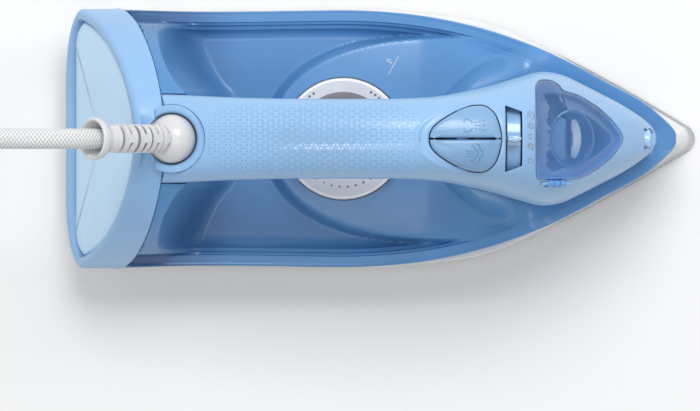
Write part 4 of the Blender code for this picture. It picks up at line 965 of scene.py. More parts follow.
RIDGE = ((56.5, 20.6), (49.3, 19.6), (37.1, 17.0), (25.6, 12.9), (17.9, 8.2), (15.0, 4.6), (13.9, 0.0))
BUTTON_HALF = (
    (19.4, 0.0), (20.2, 3.6), (22.8, 6.7), (27.0, 9.7), (31.6, 12.2), (36.2, 14.1), (40.0, 14.9),
    (43.9, 14.8),
    (46.9, 13.2), (49.2, 10.5), (50.7, 6.7), (51.6, 2.8), (51.8, 0.0),
)
DOOR_OUTLINE = (
    (68.2, -18.3), (78.0, -18.3), (88.5, -18.3), (97.0, -13.8),
    (103.9, -8.4), (108.3, -2.8), (109.4, 0.0), (108.3, 2.8), (103.9, 8.4), (97.0, 14.6), (88.0, 19.8),
    (80.8, 21.6), (79.0, 24.6), (75.5, 26.6), (70.5, 26.6), (68.2, 24.0), (67.7, 12.0), (67.6, 0.0),
    (67.8, -10.0),
)
WINDOW = ((53.6, -15.0), (61.3, -12.2), (61.3, 12.2), (53.6, 15.0))
TRAY = (
    (71.6, -14.8), (82.0, -15.2), (92.6, -12.4), (100.6, -7.2), (105.4, 0.0), (100.6, 7.4), (92.6, 13.0),
    (82.0, 16.0), (71.6, 15.4),
)


def button_loop():
    full = [*BUTTON_HALF, *[(x, -y) for x, y in reversed(BUTTON_HALF[1:-1])]]
    return rounded(full, 8)


def ridge_line():
    full = [*RIDGE, *[(x, -y) for x, y in reversed(RIDGE[:-1])]]
    return rounded(full, 8, closed=False)


def door_loop(steps=5):
    return cornered(DOOR_OUTLINE, 2.0, steps)


def handle_relief(x, y):
    """Small shapes on the handle's top: the ridge round the buttons and the soft lips of its openings."""
    ridge = ridge_line()
    away = distances(x, y, ridge)
    within = inside(x, y, ridge)
    fade = 1.0 - smooth((x - 40.0) / 16.0)
    relief = np.where(within, -0.55 * smooth(away / 2.2), 0.0) * fade
    relief = relief + 0.3 * np.exp(-((away / 0.95) ** 2)) * fade
    for loop, width, depth in (
        (offset(button_loop(), 0.35), 0.55, 0.5), (cornered(WINDOW, 0.5), 0.5, 0.35),
        (offset(door_loop(), 0.4), 0.5, 0.4),
    ):
        loop = np.vstack([loop, loop[:1]])
        relief = relief - depth * np.exp(-((distances(x, y, loop) / width) ** 2))
    dip = smooth((x - 105.5) / 4.0) * (1.0 - smooth((x - 119.0) / 4.0)) * (1.0 - smooth((np.abs(y) - 3.0) / 7.0))
    return relief - 0.6 * dip


def top_section(x, inset, low, count, height):
    half = max(0.4, float(handle_half(x)) - inset)
    c = np.cos(np.linspace(math.pi, 0.0, count))
    ys = half * np.sign(c) * np.abs(c) ** 0.85
    zs = np.maximum(low + 0.2, height(np.full(count, float(x)), ys))
    return [(x, -half, low), *[(x, py, pz) for py, pz in zip(ys, zs)], (x, half, low)]


def make_grip_studs():
    """Small raised triangles over the grip, in a lattice of six-pointed stars that shrinks towards
    its ends and sides."""
    width, pitch = 2.42, 1.4
    points, faces = [], []
    for column in range(-20, 21):
        for row in range(-11, 12):
            y = row * pitch
            left = (column + row) % 2
            x = -32.0 + (column + (2 / 3 if left else 1 / 3)) * width
            end = max(0.0, abs(x + 32.0) - 12.0) / 36.0
            side = abs(y) / 16.2
            if end**3 + side**4 > 1.02:
                continue
            size = (1.0 - 0.66 * min(1.0, end)) * (1.0 - 0.42 * side**1.5) * 0.86
            if size < 0.2:
                continue
            way = -1.0 if left else 1.0
            base = len(points)
            for lift, scale in ((-0.3, 1.0), (0.06, 1.0), (0.16, 0.8)):
                for turn in (0.0, 120.0, 240.0):
                    a = math.radians(turn)
                    px, py = x + way * size * scale * 1.5 * math.cos(a), y + size * scale * 1.5 * math.sin(a)
                    points.append((px, py, float(handle_surface(px, py)) + lift))
            for ring in (0, 3):
                for k in range(3):
                    n = (k + 1) % 3
                    faces.append((base + ring + k, base + ring + n, base + ring + 3 + n, base + ring + 3 + k))
            faces += [(base, base + 2, base + 1), (base + 6, base + 7, base + 8)]
    studs = mesh_object("grip_studs", points, faces, STUD_SHADED, 30.0)
    place_piece(studs, "iron", slot="pale_blue")


def collar_hole(name, low, high):
    return rod(name, (BALL.x, 0, low), (BALL.x, 0, high), COLLAR_RADIUS + GAP, None, 128)


def heel_zone(name):
    corners = [(-170, 10), (-170, 160), (float(heel_front(160)) + GAP, 160),
        (float(heel_front(10)) + GAP, 10)]
    return loft(name, [[(x, y, z) for x, z in corners] for y in (-80.0, 80.0)])


def hinge_line():
    ends = [Vector((x, HINGE_Y, float(handle_surface(x, HINGE_Y)) + 0.1)) for x in (72.5, 82.2)]
    return (ends[0] + ends[1]) / 2, (ends[1] - ends[0]).normalized()


def deep_prism(name, loop, floor, top=165.0, material_index=0):
    """A cutter over an outline, whose floor follows a surface."""
    obj = inlaid(name, loop, np.mean(loop, 0), [(0.0, lambda x, y: np.full(np.shape(x), top))], floor, None,
        2, 0)
    if material_index:
        for _ in range(material_index + 1):
            obj.data.materials.append(None)
        for face in obj.data.polygons:
            face.material_index = material_index
    return obj


def make_handle_top():
    """The upper handle moulding, from the ball's seat over the grip to the nose."""
    xs = np.concatenate([
        np.arange(-107.0, 12.0, 1.2), np.arange(12.0, 113.0, 0.42), np.arange(113.0, 127.9, 0.5),
    ])
    rings = []
    for x in xs:
        low = float(parting_z(x)) - 13.0 * float(smooth((x - 44.0) / 36.0))
        rings.append(top_section(x, 0.0, low, 131, lambda a, b: handle_surface(a, b) + handle_relief(a, b)))
    top = loft("handle_shell", rings, PALE)
    top.data.materials.append(RECESS)
    top.data.materials.append(TRAY_BLUE)

    def hollow(a, b):
        depth = WALL + 3.4 * smooth((a - 62.0) / 5.0)
        half = handle_half(a)
        return handle_surface(a, b * half / np.maximum(0.5, half - WALL)) - depth

    rings = [top_section(x, WALL, float(parting_z(x)) - 24.0, 41, hollow) for x in xs[::5] if x < 121.5]
    rings[0] = [(x - 8.0, y, z) for x, y, z in rings[0]]
    cut(top, loft("top_hollow", rings))
    cut(top, heel_zone("zone"))
    cut(top, collar_hole("seam", 60, 150))
    start, along = hinge_line()
    cut(top, deep_prism("well", offset(button_loop(), 0.3), lambda x, y: np.full(np.shape(x), 118.0)))
    cut(top, deep_prism("window", cornered(WINDOW, 0.5), lambda x, y: np.full(np.shape(x), 116.0)))
    cut(top, deep_prism("recess", offset(door_loop(), 0.38), lambda x, y: handle_surface(x, y) - 3.5,
        material_index=1))
    tray = rounded(TRAY, 6)
    cut(top, deep_prism("tray", tray, lambda x, y: handle_surface(x, y) - 5.6, material_index=2))
    cut(top, tube("pocket", [start - along * 5.6, start + along * 5.6], HINGE_RADIUS + 0.7, None, 32))
    cut(top, tube("pin_hole", [start - along * 9.0, start + along * 9.0], 1.25, None, 16))
    cut(top, prism("filler", filler_ring(12.3, 96), 90.0, 150.0))
    cut(top, rod("nozzle", (108, 0, 76), (140, 0, 76), 5.0, None, 48))
    notch = [(120.6, -4.9), (131.0, -1.5), (131.0, 1.5), (120.6, 4.9)]
    cut(top, prism("notch", cornered(notch, 0.4), 71.0, 120.0))
    shade(top, 32.0)
    place_piece(top, "iron", "handle_top", slot="pale_blue")


def make_handle_bottom():
    """The underside of the grip."""
    rings, hollow = [], []
    for x in np.arange(-107.0, 33.8, 1.4):
        half, part = float(handle_half(x)), float(parting_z(x)) - GAP
        c = np.cos(np.linspace(math.pi, 0.0, 61))
        shape = np.sign(c) * np.abs(c) ** 0.85
        zs = np.minimum(handle_floor(x, half * shape), part - 0.2)
        rings.append([(x, -half, part), *[(x, y, z) for y, z in zip(half * shape, zs)], (x, half, part)])
        small = half - WALL
        zs = np.minimum(handle_floor(x, half * shape) + WALL, part + 3.0)
        hollow.append([(x, -small, part + 6.0), *[(x, y, z) for y, z in zip(small * shape, zs)],
            (x, small, part + 6.0)])
    low = loft("grip_underside", rings, SKIN)
    hollow = hollow[:-2:3]
    hollow[0] = [(x - 8.0, y, z) for x, y, z in hollow[0]]
    cut(low, loft("grip_hollow", hollow))
    cut(low, heel_zone("zone"))
    cut(low, collar_hole("seam", 96, 150))
    shade(low, 30.0)
    place_piece(low, "iron", "handle_bottom", slot="pale_blue")


# ---------------------------------------------------------------- heel


def arch_ring(plane, push, inset, count=161, corner=None):
    """The heel's arch on one of its two leaning planes. A corner is the middle and the two radii
    of its lower round."""
    angles = np.linspace(0.0, math.pi, count)
    c, s = np.cos(angles), np.sin(angles)
    y = np.sign(c) * np.abs(c) ** (2.0 / HEEL_ROUND) * (HEEL_HALF - inset)
    z = HEEL_SPRING + np.abs(s) ** (2.0 / HEEL_ROUND) * (HEEL_TOP - HEEL_SPRING - inset)
    low = HEEL_BASE + inset
    if corner:
        low = corner[1] - corner[3]
    side = low + (HEEL_SPRING + 0.5 - low) * (1.0 - np.cos(np.linspace(0.0, math.pi / 2, 15)))[:-1]
    y = np.concatenate([np.full(14, HEEL_HALF - inset), y, np.full(14, -(HEEL_HALF - inset))])
    z = np.concatenate([side, np.maximum(z, HEEL_SPRING + 0.5), side[::-1]])
    if corner:
        fall = np.clip((corner[1] - z) / corner[3], 0.0, 1.0)
        limit = corner[0] + corner[2] * np.sqrt(1.0 - fall**2)
        y = np.clip(y, -limit, limit)
    return np.column_stack([plane(z) + push, y, z])


def rear_ring(push, inset, count=161):
    return arch_ring(heel_rear, push, inset, count, (29.5, 42.5, 33.0 - inset, 23.5 - inset))


def panel_ring(push, inset):
    return arch_ring(heel_rear, push, inset, 161, (45.0, 51.0, 18.0 - inset, 26.8 - inset))


def facet_z(x):
    return BALL.z + 0.3 + (x - BALL.x) * math.tan(COLLAR_TILT)


def make_heel():
    """The band over the heel with its raised rim, the collar round the ball and the plate set in the rear."""
    rings = [
        rear_ring(3.2, 5.0), rear_ring(0.7, 4.95), rear_ring(0.2, 4.6), rear_ring(0.0, 4.1),
        rear_ring(0.0, 2.2),
        rear_ring(0.2, 1.3), rear_ring(0.7, 0.6), rear_ring(1.5, 0.15), rear_ring(2.6, 0.0),
    ]
    band = []
    for share in np.linspace(0.08, 0.95, 16):
        rear, front = rear_ring(2.6, 0.0), arch_ring(heel_front, -0.8, 0.0)
        band.append(rear * (1 - share) + front * share)
    rings += [*band, arch_ring(heel_front, -0.8, 0.0), arch_ring(heel_front, -0.25, 0.15),
        arch_ring(heel_front, 0.0, 0.6)]
    rings += [arch_ring(heel_front, 0.0, 2.5)]
    rings = np.array(rings)
    top = rings[9:-4]
    near = np.hypot(top[..., 0] - BALL.x, top[..., 1])
    facet = facet_z(top[..., 0])
    high = top[..., 2] > 95.0
    share = 1.0 - smooth((near - 15.0) / 6.0)
    over = top[..., 2] - facet - 0.2
    shaved = top[..., 2] - 0.5 * (over + np.sqrt(over**2 + 2.0))
    top[..., 2] = np.where(high & (near < 22.0), top[..., 2] * (1 - share) + shaved * share, top[..., 2])
    shell = loft("heel_shell", rings, SKIN)
    cut(shell, loft("heel_hollow", [rear_ring(-2.0, 5.0, 81), rear_ring(4.8, 5.0, 81),
        rear_ring(4.9, 6.6, 81),
                                    arch_ring(heel_front, -2.6, 6.6, 81)]))
    cut(shell, rod("bore", (BALL.x, 0, 60), (BALL.x, 0, 150), 11.8, None, 128))
    shade(shell, 30.0)
    place_piece(shell, "iron", "heel_cover", slot="pale_blue")
    profile = ((15.45, -18.0), (15.45, -0.1), (15.3, 0.1), (14.9, 0.2), (14.3, 0.28), (13.6, 0.34),
        (13.0, 0.32),
               (12.6, 0.2), (12.2, -0.15), (11.9, -0.7), (11.7, -1.6), (11.5, -4.0), (11.5, -18.0))
    count, points, faces = 160, [], []
    for radius, lift in profile:
        for k in range(count):
            a = math.tau * k / count
            x, y = BALL.x + radius * math.cos(a), radius * math.sin(a)
            points.append((x, y, facet_z(x) + lift if lift > -10 else 99.0))
    for i in range(len(profile)):
        for k in range(count):
            j, n = (k + 1) % count, (i + 1) % len(profile)
            faces.append((i * count + k, i * count + j, n * count + j, n * count + k))
    collar = mesh_object("ball_collar", points, faces, SKIN, 35.0)
    cut(collar, loft("trim", [[(x, y, z) for x,
        z in ((-130, 90), (-130, 140), (float(heel_front(140)) - 4.2, 140),
        (float(heel_front(90)) - 4.2, 90))]
                              for y in (-30.0, 30.0)]))
    shade(collar, 35.0)
    place_piece(collar, "iron", slot="pale_blue")
    rings = [panel_ring(4.4, 6.1), panel_ring(2.6, 6.1), panel_ring(2.0, 6.3), panel_ring(1.5, 6.9),
        panel_ring(1.2, 7.8)]
    for k in range(1, 8):
        last = rings[4]
        middle = np.array([float(heel_rear(66.0)) + 1.1, 0.0, 66.0])
        ring = middle + (last - middle) * (1 - k / 8)
        ring[:, 0] = heel_rear(ring[:, 2]) + 1.1
        rings.append(ring)
    plate = loft("heel_plate", rings, HEEL_PLATE)
    inwards = Vector((1.0, 0.0, -HEEL_LEAN)).normalized()
    seat = Vector((float(heel_rear(40.0)), 0.0, 40.0))
    cut(plate, rod("screw_way", seat - inwards * 6.0, seat + inwards * 9.0, 3.9, None, 48))
    shade(plate, 30.0)
    place_piece(plate, "iron", "heel_panel", slot="heel_blue")


def make_guard():
    """The swivel's ball and its slotted sleeve with a flared mouth; the slots' deep faces get a painted shade grey."""
    chord = Vector((-math.cos(GUARD_RISE), 0.0, math.sin(GUARD_RISE))) * GUARD_LENGTH
    bend = Vector((-math.cos(math.radians(60.0)), 0.0, math.sin(math.radians(60.0)))) * (0.36 * GUARD_LENGTH)

    def spot(height):
        """A point and a direction on the sleeve's bowed middle line."""
        t = height / GUARD_LENGTH
        return BALL + 2 * t * (1 - t) * bend + t * t * chord, ((1 - 2 * t) * bend + t * chord).normalized()

    bore = CORD_RADIUS + 0.35
    profile = []
    start, end = math.asin(bore / BALL_RADIUS), math.pi - math.asin(6.0 / BALL_RADIUS)
    for k in range(49):
        angle = start + (end - start) * k / 48
        profile.append((BALL_RADIUS * math.sin(angle), -BALL_RADIUS * math.cos(angle)))
    profile += [(6.05, 9.6), (6.2, 10.0)]
    profile += [(6.25, 10.0 + 0.22 * k) for k in range(1, 139)]
    profile += [(6.35, 41.0), (6.9, 42.0), (7.9, 43.0), (8.8, 43.9), (9.25, 44.8), (9.45, 45.6),
        (9.38, 46.15), (9.1, 46.5),
                (8.6, 46.6), (8.1, 46.4), (7.75, 45.9), (7.3, 44.9), (6.4, 43.4), (5.4, 42.0), (bore, 41.0),
                (bore, 12.0)]
    sides, points, faces = 128, [], []
    for radius, height in profile:
        for k in range(sides):
            a = math.tau * k / sides
            r = radius
            if 10.2 < height < 40.6 and radius > 6.2:
                turn = abs((math.degrees(a) + 180.0) % 360.0 - 180.0)
                r = radius + slot_relief(height, turn)
            middle, along = spot(max(0.0, height)) if height > 0.0 else (BALL + spot(0.0)[1] * height,
                spot(0.0)[1])
            lip = 0.16 * float(smooth((height - 40.0) / 4.0))
            along = (along + Vector((0.0, 0.0, lip))).normalized()
            up = Vector((along.z, 0.0, -along.x))
            points.append(middle + r * (math.cos(a) * up + math.sin(a) * along.cross(up)))
    for i in range(len(profile)):
        n = (i + 1) % len(profile)
        for k in range(sides):
            j = (k + 1) % sides
            faces.append((i * sides + k, i * sides + j, n * sides + j, n * sides + k))
    guard = mesh_object("ribbed_guard", points, faces, WHITE, 50.0)
    # painted shade: faces deep in the slots take the grey shade material
    guard.data.materials.append(SLOT_SHADE)
    for face in guard.data.polygons:
        row, k = divmod(face.index, sides)
        if row < len(profile) - 1 and 10.2 < profile[row][1] < 40.6 and profile[row][0] > 6.2:
            turn = abs((360.0 * (k + 0.5) / sides + 180.0) % 360.0 - 180.0)
            if slot_relief(profile[row][1] + 0.11, turn) < -0.75:
                face.material_index = 1
    place_piece(guard, "guard", "cord_guard", slot="white_plastic")


def slot_relief(height, turn):
    """Depth of the sleeve's slots: rows of two, each row a quarter turn from the next."""
    depth = 0.0
    for row in range(8):
        at = 11.0 + 3.56 * row
        side = 0.0 if row % 2 else 90.0
        off = min(abs(turn - side), abs(180.0 - turn - side), abs(turn + side))
        reach = 79.0 if row % 2 else 66.0
        ends = max(0.0, off - reach) * 0.105
        away = math.hypot(height - at, ends)
        depth -= 1.3 * (1.0 - float(smooth((away - 0.5) / 0.35)))
        depth += 0.2 * math.exp(-(((away - 1.15) / 0.35) ** 2))
    return depth


# ---------------------------------------------------------------- controls


def button_top(x, y):
    return handle_surface(x, 0.92 * np.asarray(y)) + 0.45


def spray_mark():
    """A nozzle and the drops that leave it."""
    upper = rounded([(34.9, 5.9), (34.9, 8.6), (36.4, 8.6), (38.0, 7.9), (38.6, 6.9)], 5, closed=False)
    lower = rounded([(34.9, 5.9), (34.9, 3.2), (36.4, 3.2), (38.0, 3.9), (38.6, 4.9)], 5, closed=False)
    lines = [[(34.9, 8.4), (34.9, 3.4)], [tuple(p) for p in upper[5:]], [tuple(p) for p in lower[5:]]]
    for x, ys in ((40.0, (7.3, 5.9, 4.5)), (41.9, (7.65, 5.9, 4.15)), (43.8, (8.0, 5.9, 3.8))):
        for y in ys:
            rise = 0.18 * (y - 5.9) / 2.1
            lines.append([(x - 0.45, y - 0.45 * rise), (x + 0.45, y + 0.45 * rise)])
    return lines


def steam_mark():
    """Two scalloped clouds and the streaks behind them."""
    far = [(39.9, -2.2), (41.1, -2.4), (41.9, -3.4), (42.0, -4.6), (43.0, -5.4), (43.3, -6.5), (43.0, -7.6),
        (42.0, -8.4),
           (41.9, -9.6), (41.1, -10.6), (39.9, -10.8)]
    near = [(37.8, -3.9), (38.7, -3.3), (39.6, -3.8), (39.9, -4.9), (40.9, -5.7), (41.1, -6.6), (40.8, -7.5),
        (39.9, -8.3),
            (39.6, -9.4), (38.7, -9.9), (37.8, -9.3)]
    lines = [[tuple(p) for p in rounded(line, 4, closed=False)] for line in (far, near)]
    for y in (-5.4, -6.6, -7.8):
        lines.append([(35.9, y - 0.1), (36.9, y + 0.12), (37.9, y + 0.02), (38.9, y + 0.14)])
    return lines


def make_buttons():
    """The two halves of one egg shape, with rounded edges and raised marks, the marks painted a darker blue as their
    shade.
    """
    for side, name, marks in ((1, "spray", spray_mark()), (-1, "boost", steam_mark())):
        loop = button_loop()
        loop = offset(loop, -0.2)
        keep = [p for p in loop if p[1] * side > 0.5]
        keep.sort(key=lambda p: p[0])
        xs = [p[0] for p in keep]
        edge = [(xs[0] - 0.25, 0.42 * side), *keep, (xs[-1] + 0.15, 0.42 * side)]
        flat = [(edge[-1][0] + (edge[0][0] - edge[-1][0]) * t, 0.42 * side) for t in np.linspace(0, 1,
            40)[1:-1]]
        edge = np.array([*edge, *flat])
        if side < 0:
            edge = edge[::-1]
        down = lambda drop: (lambda x, y: button_top(x, y) - drop)
        levels = [(0.0, down(1.5)), (0.05, down(1.1)), (0.2, down(0.72)), (0.5, down(0.38)),
            (0.95, down(0.14)), (1.5, down(0.02)), (2.0, down(0.0))]
        button = inlaid(f"{name}_key", edge, (40.0, 6.2 * side), levels, lambda x,
            y: handle_surface(x, y) - 3.0, BUTTON, 16, 50.0)
        place_piece(button, name, f"{name}_button", slot="button_blue")
        # raised marks in the darker painted-shade blue
        raised = strokes(f"{name}_mark", marks, 0.26, lambda x, y: button_top(x, y) - 0.08, MARK_SHADE_BLUE)
        place_piece(raised, name, slot="button_blue")


def make_steam_lever():
    """The drum in the window and the pointed tab on it."""
    x0, x1, r = LEVER_X[0] + 0.45, LEVER_X[1] - 0.2, LEVER_RADIUS
    angles = np.radians(np.linspace(-64.0, 64.0, 97))
    rings = []
    for a in angles:
        up, out = math.cos(a), math.sin(a)
        shape = [(x0, 2.2), (x0, r - 0.3), (x0 + 0.3, r), (x1 - 0.3, r), (x1, r - 0.3), (x1, r - 2.0),
            (x0 + 1.6, r - 2.0), (x0 + 1.6, 2.2)]
        rings.append([(x, out * q, LEVER_AXIS_Z + up * q) for x, q in shape])
    drum = loft("dosing_drum", rings, DRUM)
    place_piece(drum, "lever", "steam_lever", slot="pale_blue")
    shape = cornered([(x0 + 0.15, -1.35), (58.7, -1.35), (60.2, -0.75), (60.7, 0.0), (60.2, 0.75),
        (58.7, 1.35), (x0 + 0.15, 1.35)], 0.4, 3)
    levels = [(0.0, r - 1.0), (0.0, r + 6.5), (0.12, r + 6.95), (0.35, r + 7.25), (0.6, r + 7.4)]
    rings = []
    for inset, height in levels:
        ring = offset(shape, -inset)
        rings.append([(x, y, LEVER_AXIS_Z + height) for x, y in ring])
    tab = loft("dosing_tab", rings, KNOB, 50.0)
    place_piece(tab, "lever", slot="pale_blue")


def make_control_marks():
    """Small printed signs beside the window: steam settings from much to none, and a drop."""
    lines = []
    for cx, cy, size in ((65.2, 10.4, 1.0), (65.0, 5.6, 0.8), (64.9, -3.6, 0.85)):
        for a in (100, 30, -40):
            mx, my = cx + 1.05 * size * math.cos(math.radians(a)), cy + 1.05 * size * math.sin(math.radians(a))
            lines.append(arc(mx, my, 0.75 * size, a - 110, a + 110, 8))
        for shift in (-0.5, 0.4):
            lines.append([(cx - 1.7 * size, cy + shift), (cx - 0.9 * size, cy + shift + 0.3),
                (cx - 0.1, cy + shift)])
    lines.append([(63.6, -2.2), (66.4, -5.0)])
    lines.append(arc(64.9, 1.0, 0.95, 40, 320, 12))
    drop = [(66.4, -9.8), (65.2, -8.9), (64.3, -9.0), (63.9, -9.8), (64.3, -10.6), (65.2, -10.7),
        (66.4, -9.8)]
    lines.append(drop)
    marks = strokes("setting_marks", lines, 0.14, lambda x, y: handle_surface(x, y) + 0.02, PRINT_WARM, 6)
    place_piece(marks, "iron", slot="dial_grey")


def make_door():
    """The clear filler door with its thick rim and tab, and its hinge knuckle."""
    loop = door_loop(6)
    top = lambda lift: (lambda x, y: handle_surface(x, y) + 0.1 + lift)
    levels = [(0.0, top(-0.25)), (0.12, top(0.1)), (0.35, top(0.3)), (0.7, top(0.38)), (1.5, top(0.3)),
        (2.0, top(0.12)), (2.6, top(0.1))]

    def rim(x, y):
        away = distances(x, y, np.vstack([loop, loop[:1]]))
        thick = 1.9 + 2.6 * smooth((x - 84.0) / 20.0) * smooth((4.0 - y) / 12.0) + 1.2 * smooth((x - 84.0) / 14.0)
        tab = smooth((y - 19.0) / 2.5)
        return np.clip(np.maximum(1.0 - smooth((away - 0.3) / thick), 0.8 * tab), 0.0, 1.0)

    door = inlaid("clear_door", loop, (86.0, 1.0), levels, top(-1.5), DOOR, 44, 40.0, rim)
    place_piece(door, "door", "filler_door", slot="door_blue")
    start, along = hinge_line()
    for number, (a, b) in enumerate(((-4.9, -2.0), (-1.4, 1.4), (2.0, 4.9)), 1):
        knuckle = tube(f"door_knuckle_{number}", [start + along * t for t in np.linspace(a, b, 5)],
            HINGE_RADIUS, RECESS, 40)
        soften(knuckle, 0.25, 2)
        place_piece(knuckle, "door", slot="door_blue")


def filler_ring(radius, count=96, squeeze=0.815):
    """The filler's round mouth lies in the sloping nose, so in plan it is an oval."""
    return [(FILLER_X + squeeze * radius * math.cos(math.tau * k / count),
        radius * math.sin(math.tau * k / count))
            for k in range(count)]


def make_filling():
    """The funnel's mouth: a ring, a bowl, the flap that splits it and its upright rib."""
    def level(drop):
        return lambda x, y: handle_surface(x, y) - drop

    centre = (FILLER_X, 0.0)
    rings = [[(x, y, float(level(drop)(x, y))) for x, y in filler_ring(radius)]
             for radius, drop in ((12.2, 7.0), (12.2, 5.3), (12.5, 5.0), (13.1, 5.0), (13.3, 5.3),
             (13.3, 7.0))]
    rings = np.array(rings)
    count, faces = rings.shape[1], []
    for i in range(len(rings)):
        n = (i + 1) % len(rings)
        for k in range(count):
            j = (k + 1) % count
            faces.append((i * count + k, i * count + j, n * count + j, n * count + k))
    seal = mesh_object("filler_seal", rings.reshape(-1, 3), faces, FILLER_BLUE, 40.0)
    place_piece(seal, "iron", "door_seal", slot="silicone")
    bowl = inlaid("filler_bowl", np.array(filler_ring(12.1)), centre,
        [(0.0, level(6.3)), (0.5, level(7.4)), (1.0, level(7.9))],
                  level(9.5), TRAY_BLUE, 8, 40.0)
    place_piece(bowl, "iron", slot="tank_blue")
    rear = [(x, y) for x, y in filler_ring(11.7, 144) if x < FILLER_X - 1.3]
    rear.sort(key=lambda p: math.atan2(p[1], FILLER_X - p[0]))
    plate = inlaid("filler_plate", np.array(rear), (FILLER_X - 5.0, 0.0),
        [(0.0, level(7.3)), (0.3, level(7.0))], level(8.2), FILLER_BLUE, 8, 40.0)
    place_piece(plate, "iron", slot="inner_white")
    bow = [(FILLER_X - 0.2 + 4.9 * math.cos(math.radians(t)),
        9.9 * math.sin(math.radians(t))) for t in range(-90, 91, 5)]
    flap = inlaid("filler_flap", np.array(bow), (FILLER_X + 1.8, 0.0),
        [(0.0, level(7.0)), (0.2, level(6.6)), (0.6, level(6.5))],
                  level(8.0), FLAP, 8, 40.0)
    place_piece(flap, "iron", slot="inner_white")
    rib = [(FILLER_X - 1.2, -10.9), (FILLER_X - 0.45, -10.9), (FILLER_X - 0.45, 10.9), (FILLER_X - 1.2, 10.9)]
    rib = inlaid("filler_rib", cornered(rib, 0.2, 2), (FILLER_X - 0.8, 0.0),
        [(0.0, level(6.2)), (0.1, level(6.0))], level(8.5), RIB_DARK, 3, 40.0)
    place_piece(rib, "iron", slot="inner_white")
    for side in (1, -1):
        ear = [(FILLER_X - 5.0, 9.6 * side), (FILLER_X - 0.4, 8.2 * side), (FILLER_X + 2.6, 9.2 * side),
            (FILLER_X + 0.4, 10.9 * side),
               (FILLER_X - 4.0, 10.7 * side)]
        ear = cornered(ear if side > 0 else ear[::-1], 0.6, 3)
        ear = inlaid(f"flap_ear_{'left' if side > 0 else 'right'}", ear, (FILLER_X - 1.2, 9.8 * side),
            [(0.0, level(6.6)), (0.25, level(6.3))],
                     level(7.8), RIB_DARK, 3, 40.0)
        place_piece(ear, "iron", slot="inner_white")


def make_dial():
    """The serrated temperature dial with growing dots, and the grey plate let into it."""
    low, high, teeth = DIAL_SEAT + GAP, DIAL_SEAT + 10.0, 176
    count = teeth * 4
    turn = np.arange(count) * math.tau / count
    wave = np.clip(np.abs(((np.arange(count) / 4.0) % 1.0) - 0.5) * 3.0 - 0.25, 0.0, 1.0)
    rings = []
    for radius, height, bite in (
        (28.1, low, 0.0), (28.75, low + 0.3, 0.85), (28.98, low + 0.9, 0.85), (28.98, high - 1.5, 0.85),
        (28.9, high - 0.6, 0.85),
        (28.7, high - 0.15, 0.7), (28.2, high - 0.02, 0.25), (27.2, high, 0.0), (23.0, high, 0.0),
    ):
        r = radius - bite * wave
        rings.append(np.column_stack([DIAL_X + r * np.cos(turn), r * np.sin(turn), np.full(count, height)]))
    dial = loft("dial_ring", rings, DIAL_WHITE, 45.0)
    paint_rim(dial)
    place_piece(dial, "dial", "temperature_dial", slot="dial_white")
    shape = [(DIAL_X + 22.05 * math.cos(math.radians(t)),
        22.05 * math.sin(math.radians(t))) for t in np.linspace(-18.0, 198.0, 97)]
    flat = lambda lift: (lambda x, y: np.full(np.shape(x), high + lift))
    plate = inlaid("dial_plate", cornered(shape, 0.6, 2), (DIAL_X, 6.0),
        [(0.0, flat(0.02)), (0.12, flat(0.14)), (0.4, flat(0.18))], flat(-1.0),
                   DIAL_GREY, 6)
    place_piece(plate, "dial", "dial_cap", slot="dial_grey")
    spots = []
    for k in range(-5, 7):
        a = math.radians(270.3 + 9.75 * (k - 0.5))
        spots.append((DIAL_X + 22.6 * math.cos(a), 22.6 * math.sin(a), 0.47 + 0.035 * k))
    for angle, number in ((54.0, 3), (126.0, 2), (0.0, 1)):
        for n in range(number):
            a = math.radians(angle + 5.2 * (n - (number - 1) / 2))
            spots.append((DIAL_X + 25.4 * math.cos(a), 25.4 * math.sin(a), 0.62))
    marks = dot_marks("dial_marks", spots, lambda x, y: high, PRINT, 0.05)
    place_piece(marks, "dial", slot="dial_grey")


def paint_rim(dial):
    """The ribbed edge is a brighter white than the dial's face."""
    paint = Paint("dial_edge", (246, 246, 246), 0.32)
    paint.moulded(0.4, 0.012, 0.03, 0.28, 0.38)
    dial.data.materials.append(paint.material)
    for face in dial.data.polygons:
        if math.hypot(face.center.x * 1000 - DIAL_X, face.center.y * 1000) > 27.6:
            face.material_index = 1


def make_level_mark():
    """The fill line on the tank, with a small arrow."""
    lines = [[(7.2, 39.0), (2.2, 30.1)], [(3.9, 35.4), (1.4, 36.9), (2.9, 37.6), (3.9, 35.4)]]
    marks = strokes("level_mark", [[(a + (c - a) * t, b + (d - b) * t) for t in np.linspace(0, 1,
        9)] for line in lines
                                   for (a, b), (c, d) in zip(line, line[1:])], 0.16, lambda x,
                                   y: tank_skin(x, y) + 0.0, PRINT_PALE, 6)
    place_piece(marks, "iron", slot="white_plastic")


# ---------------------------------------------------------------- skirt, sole and lead


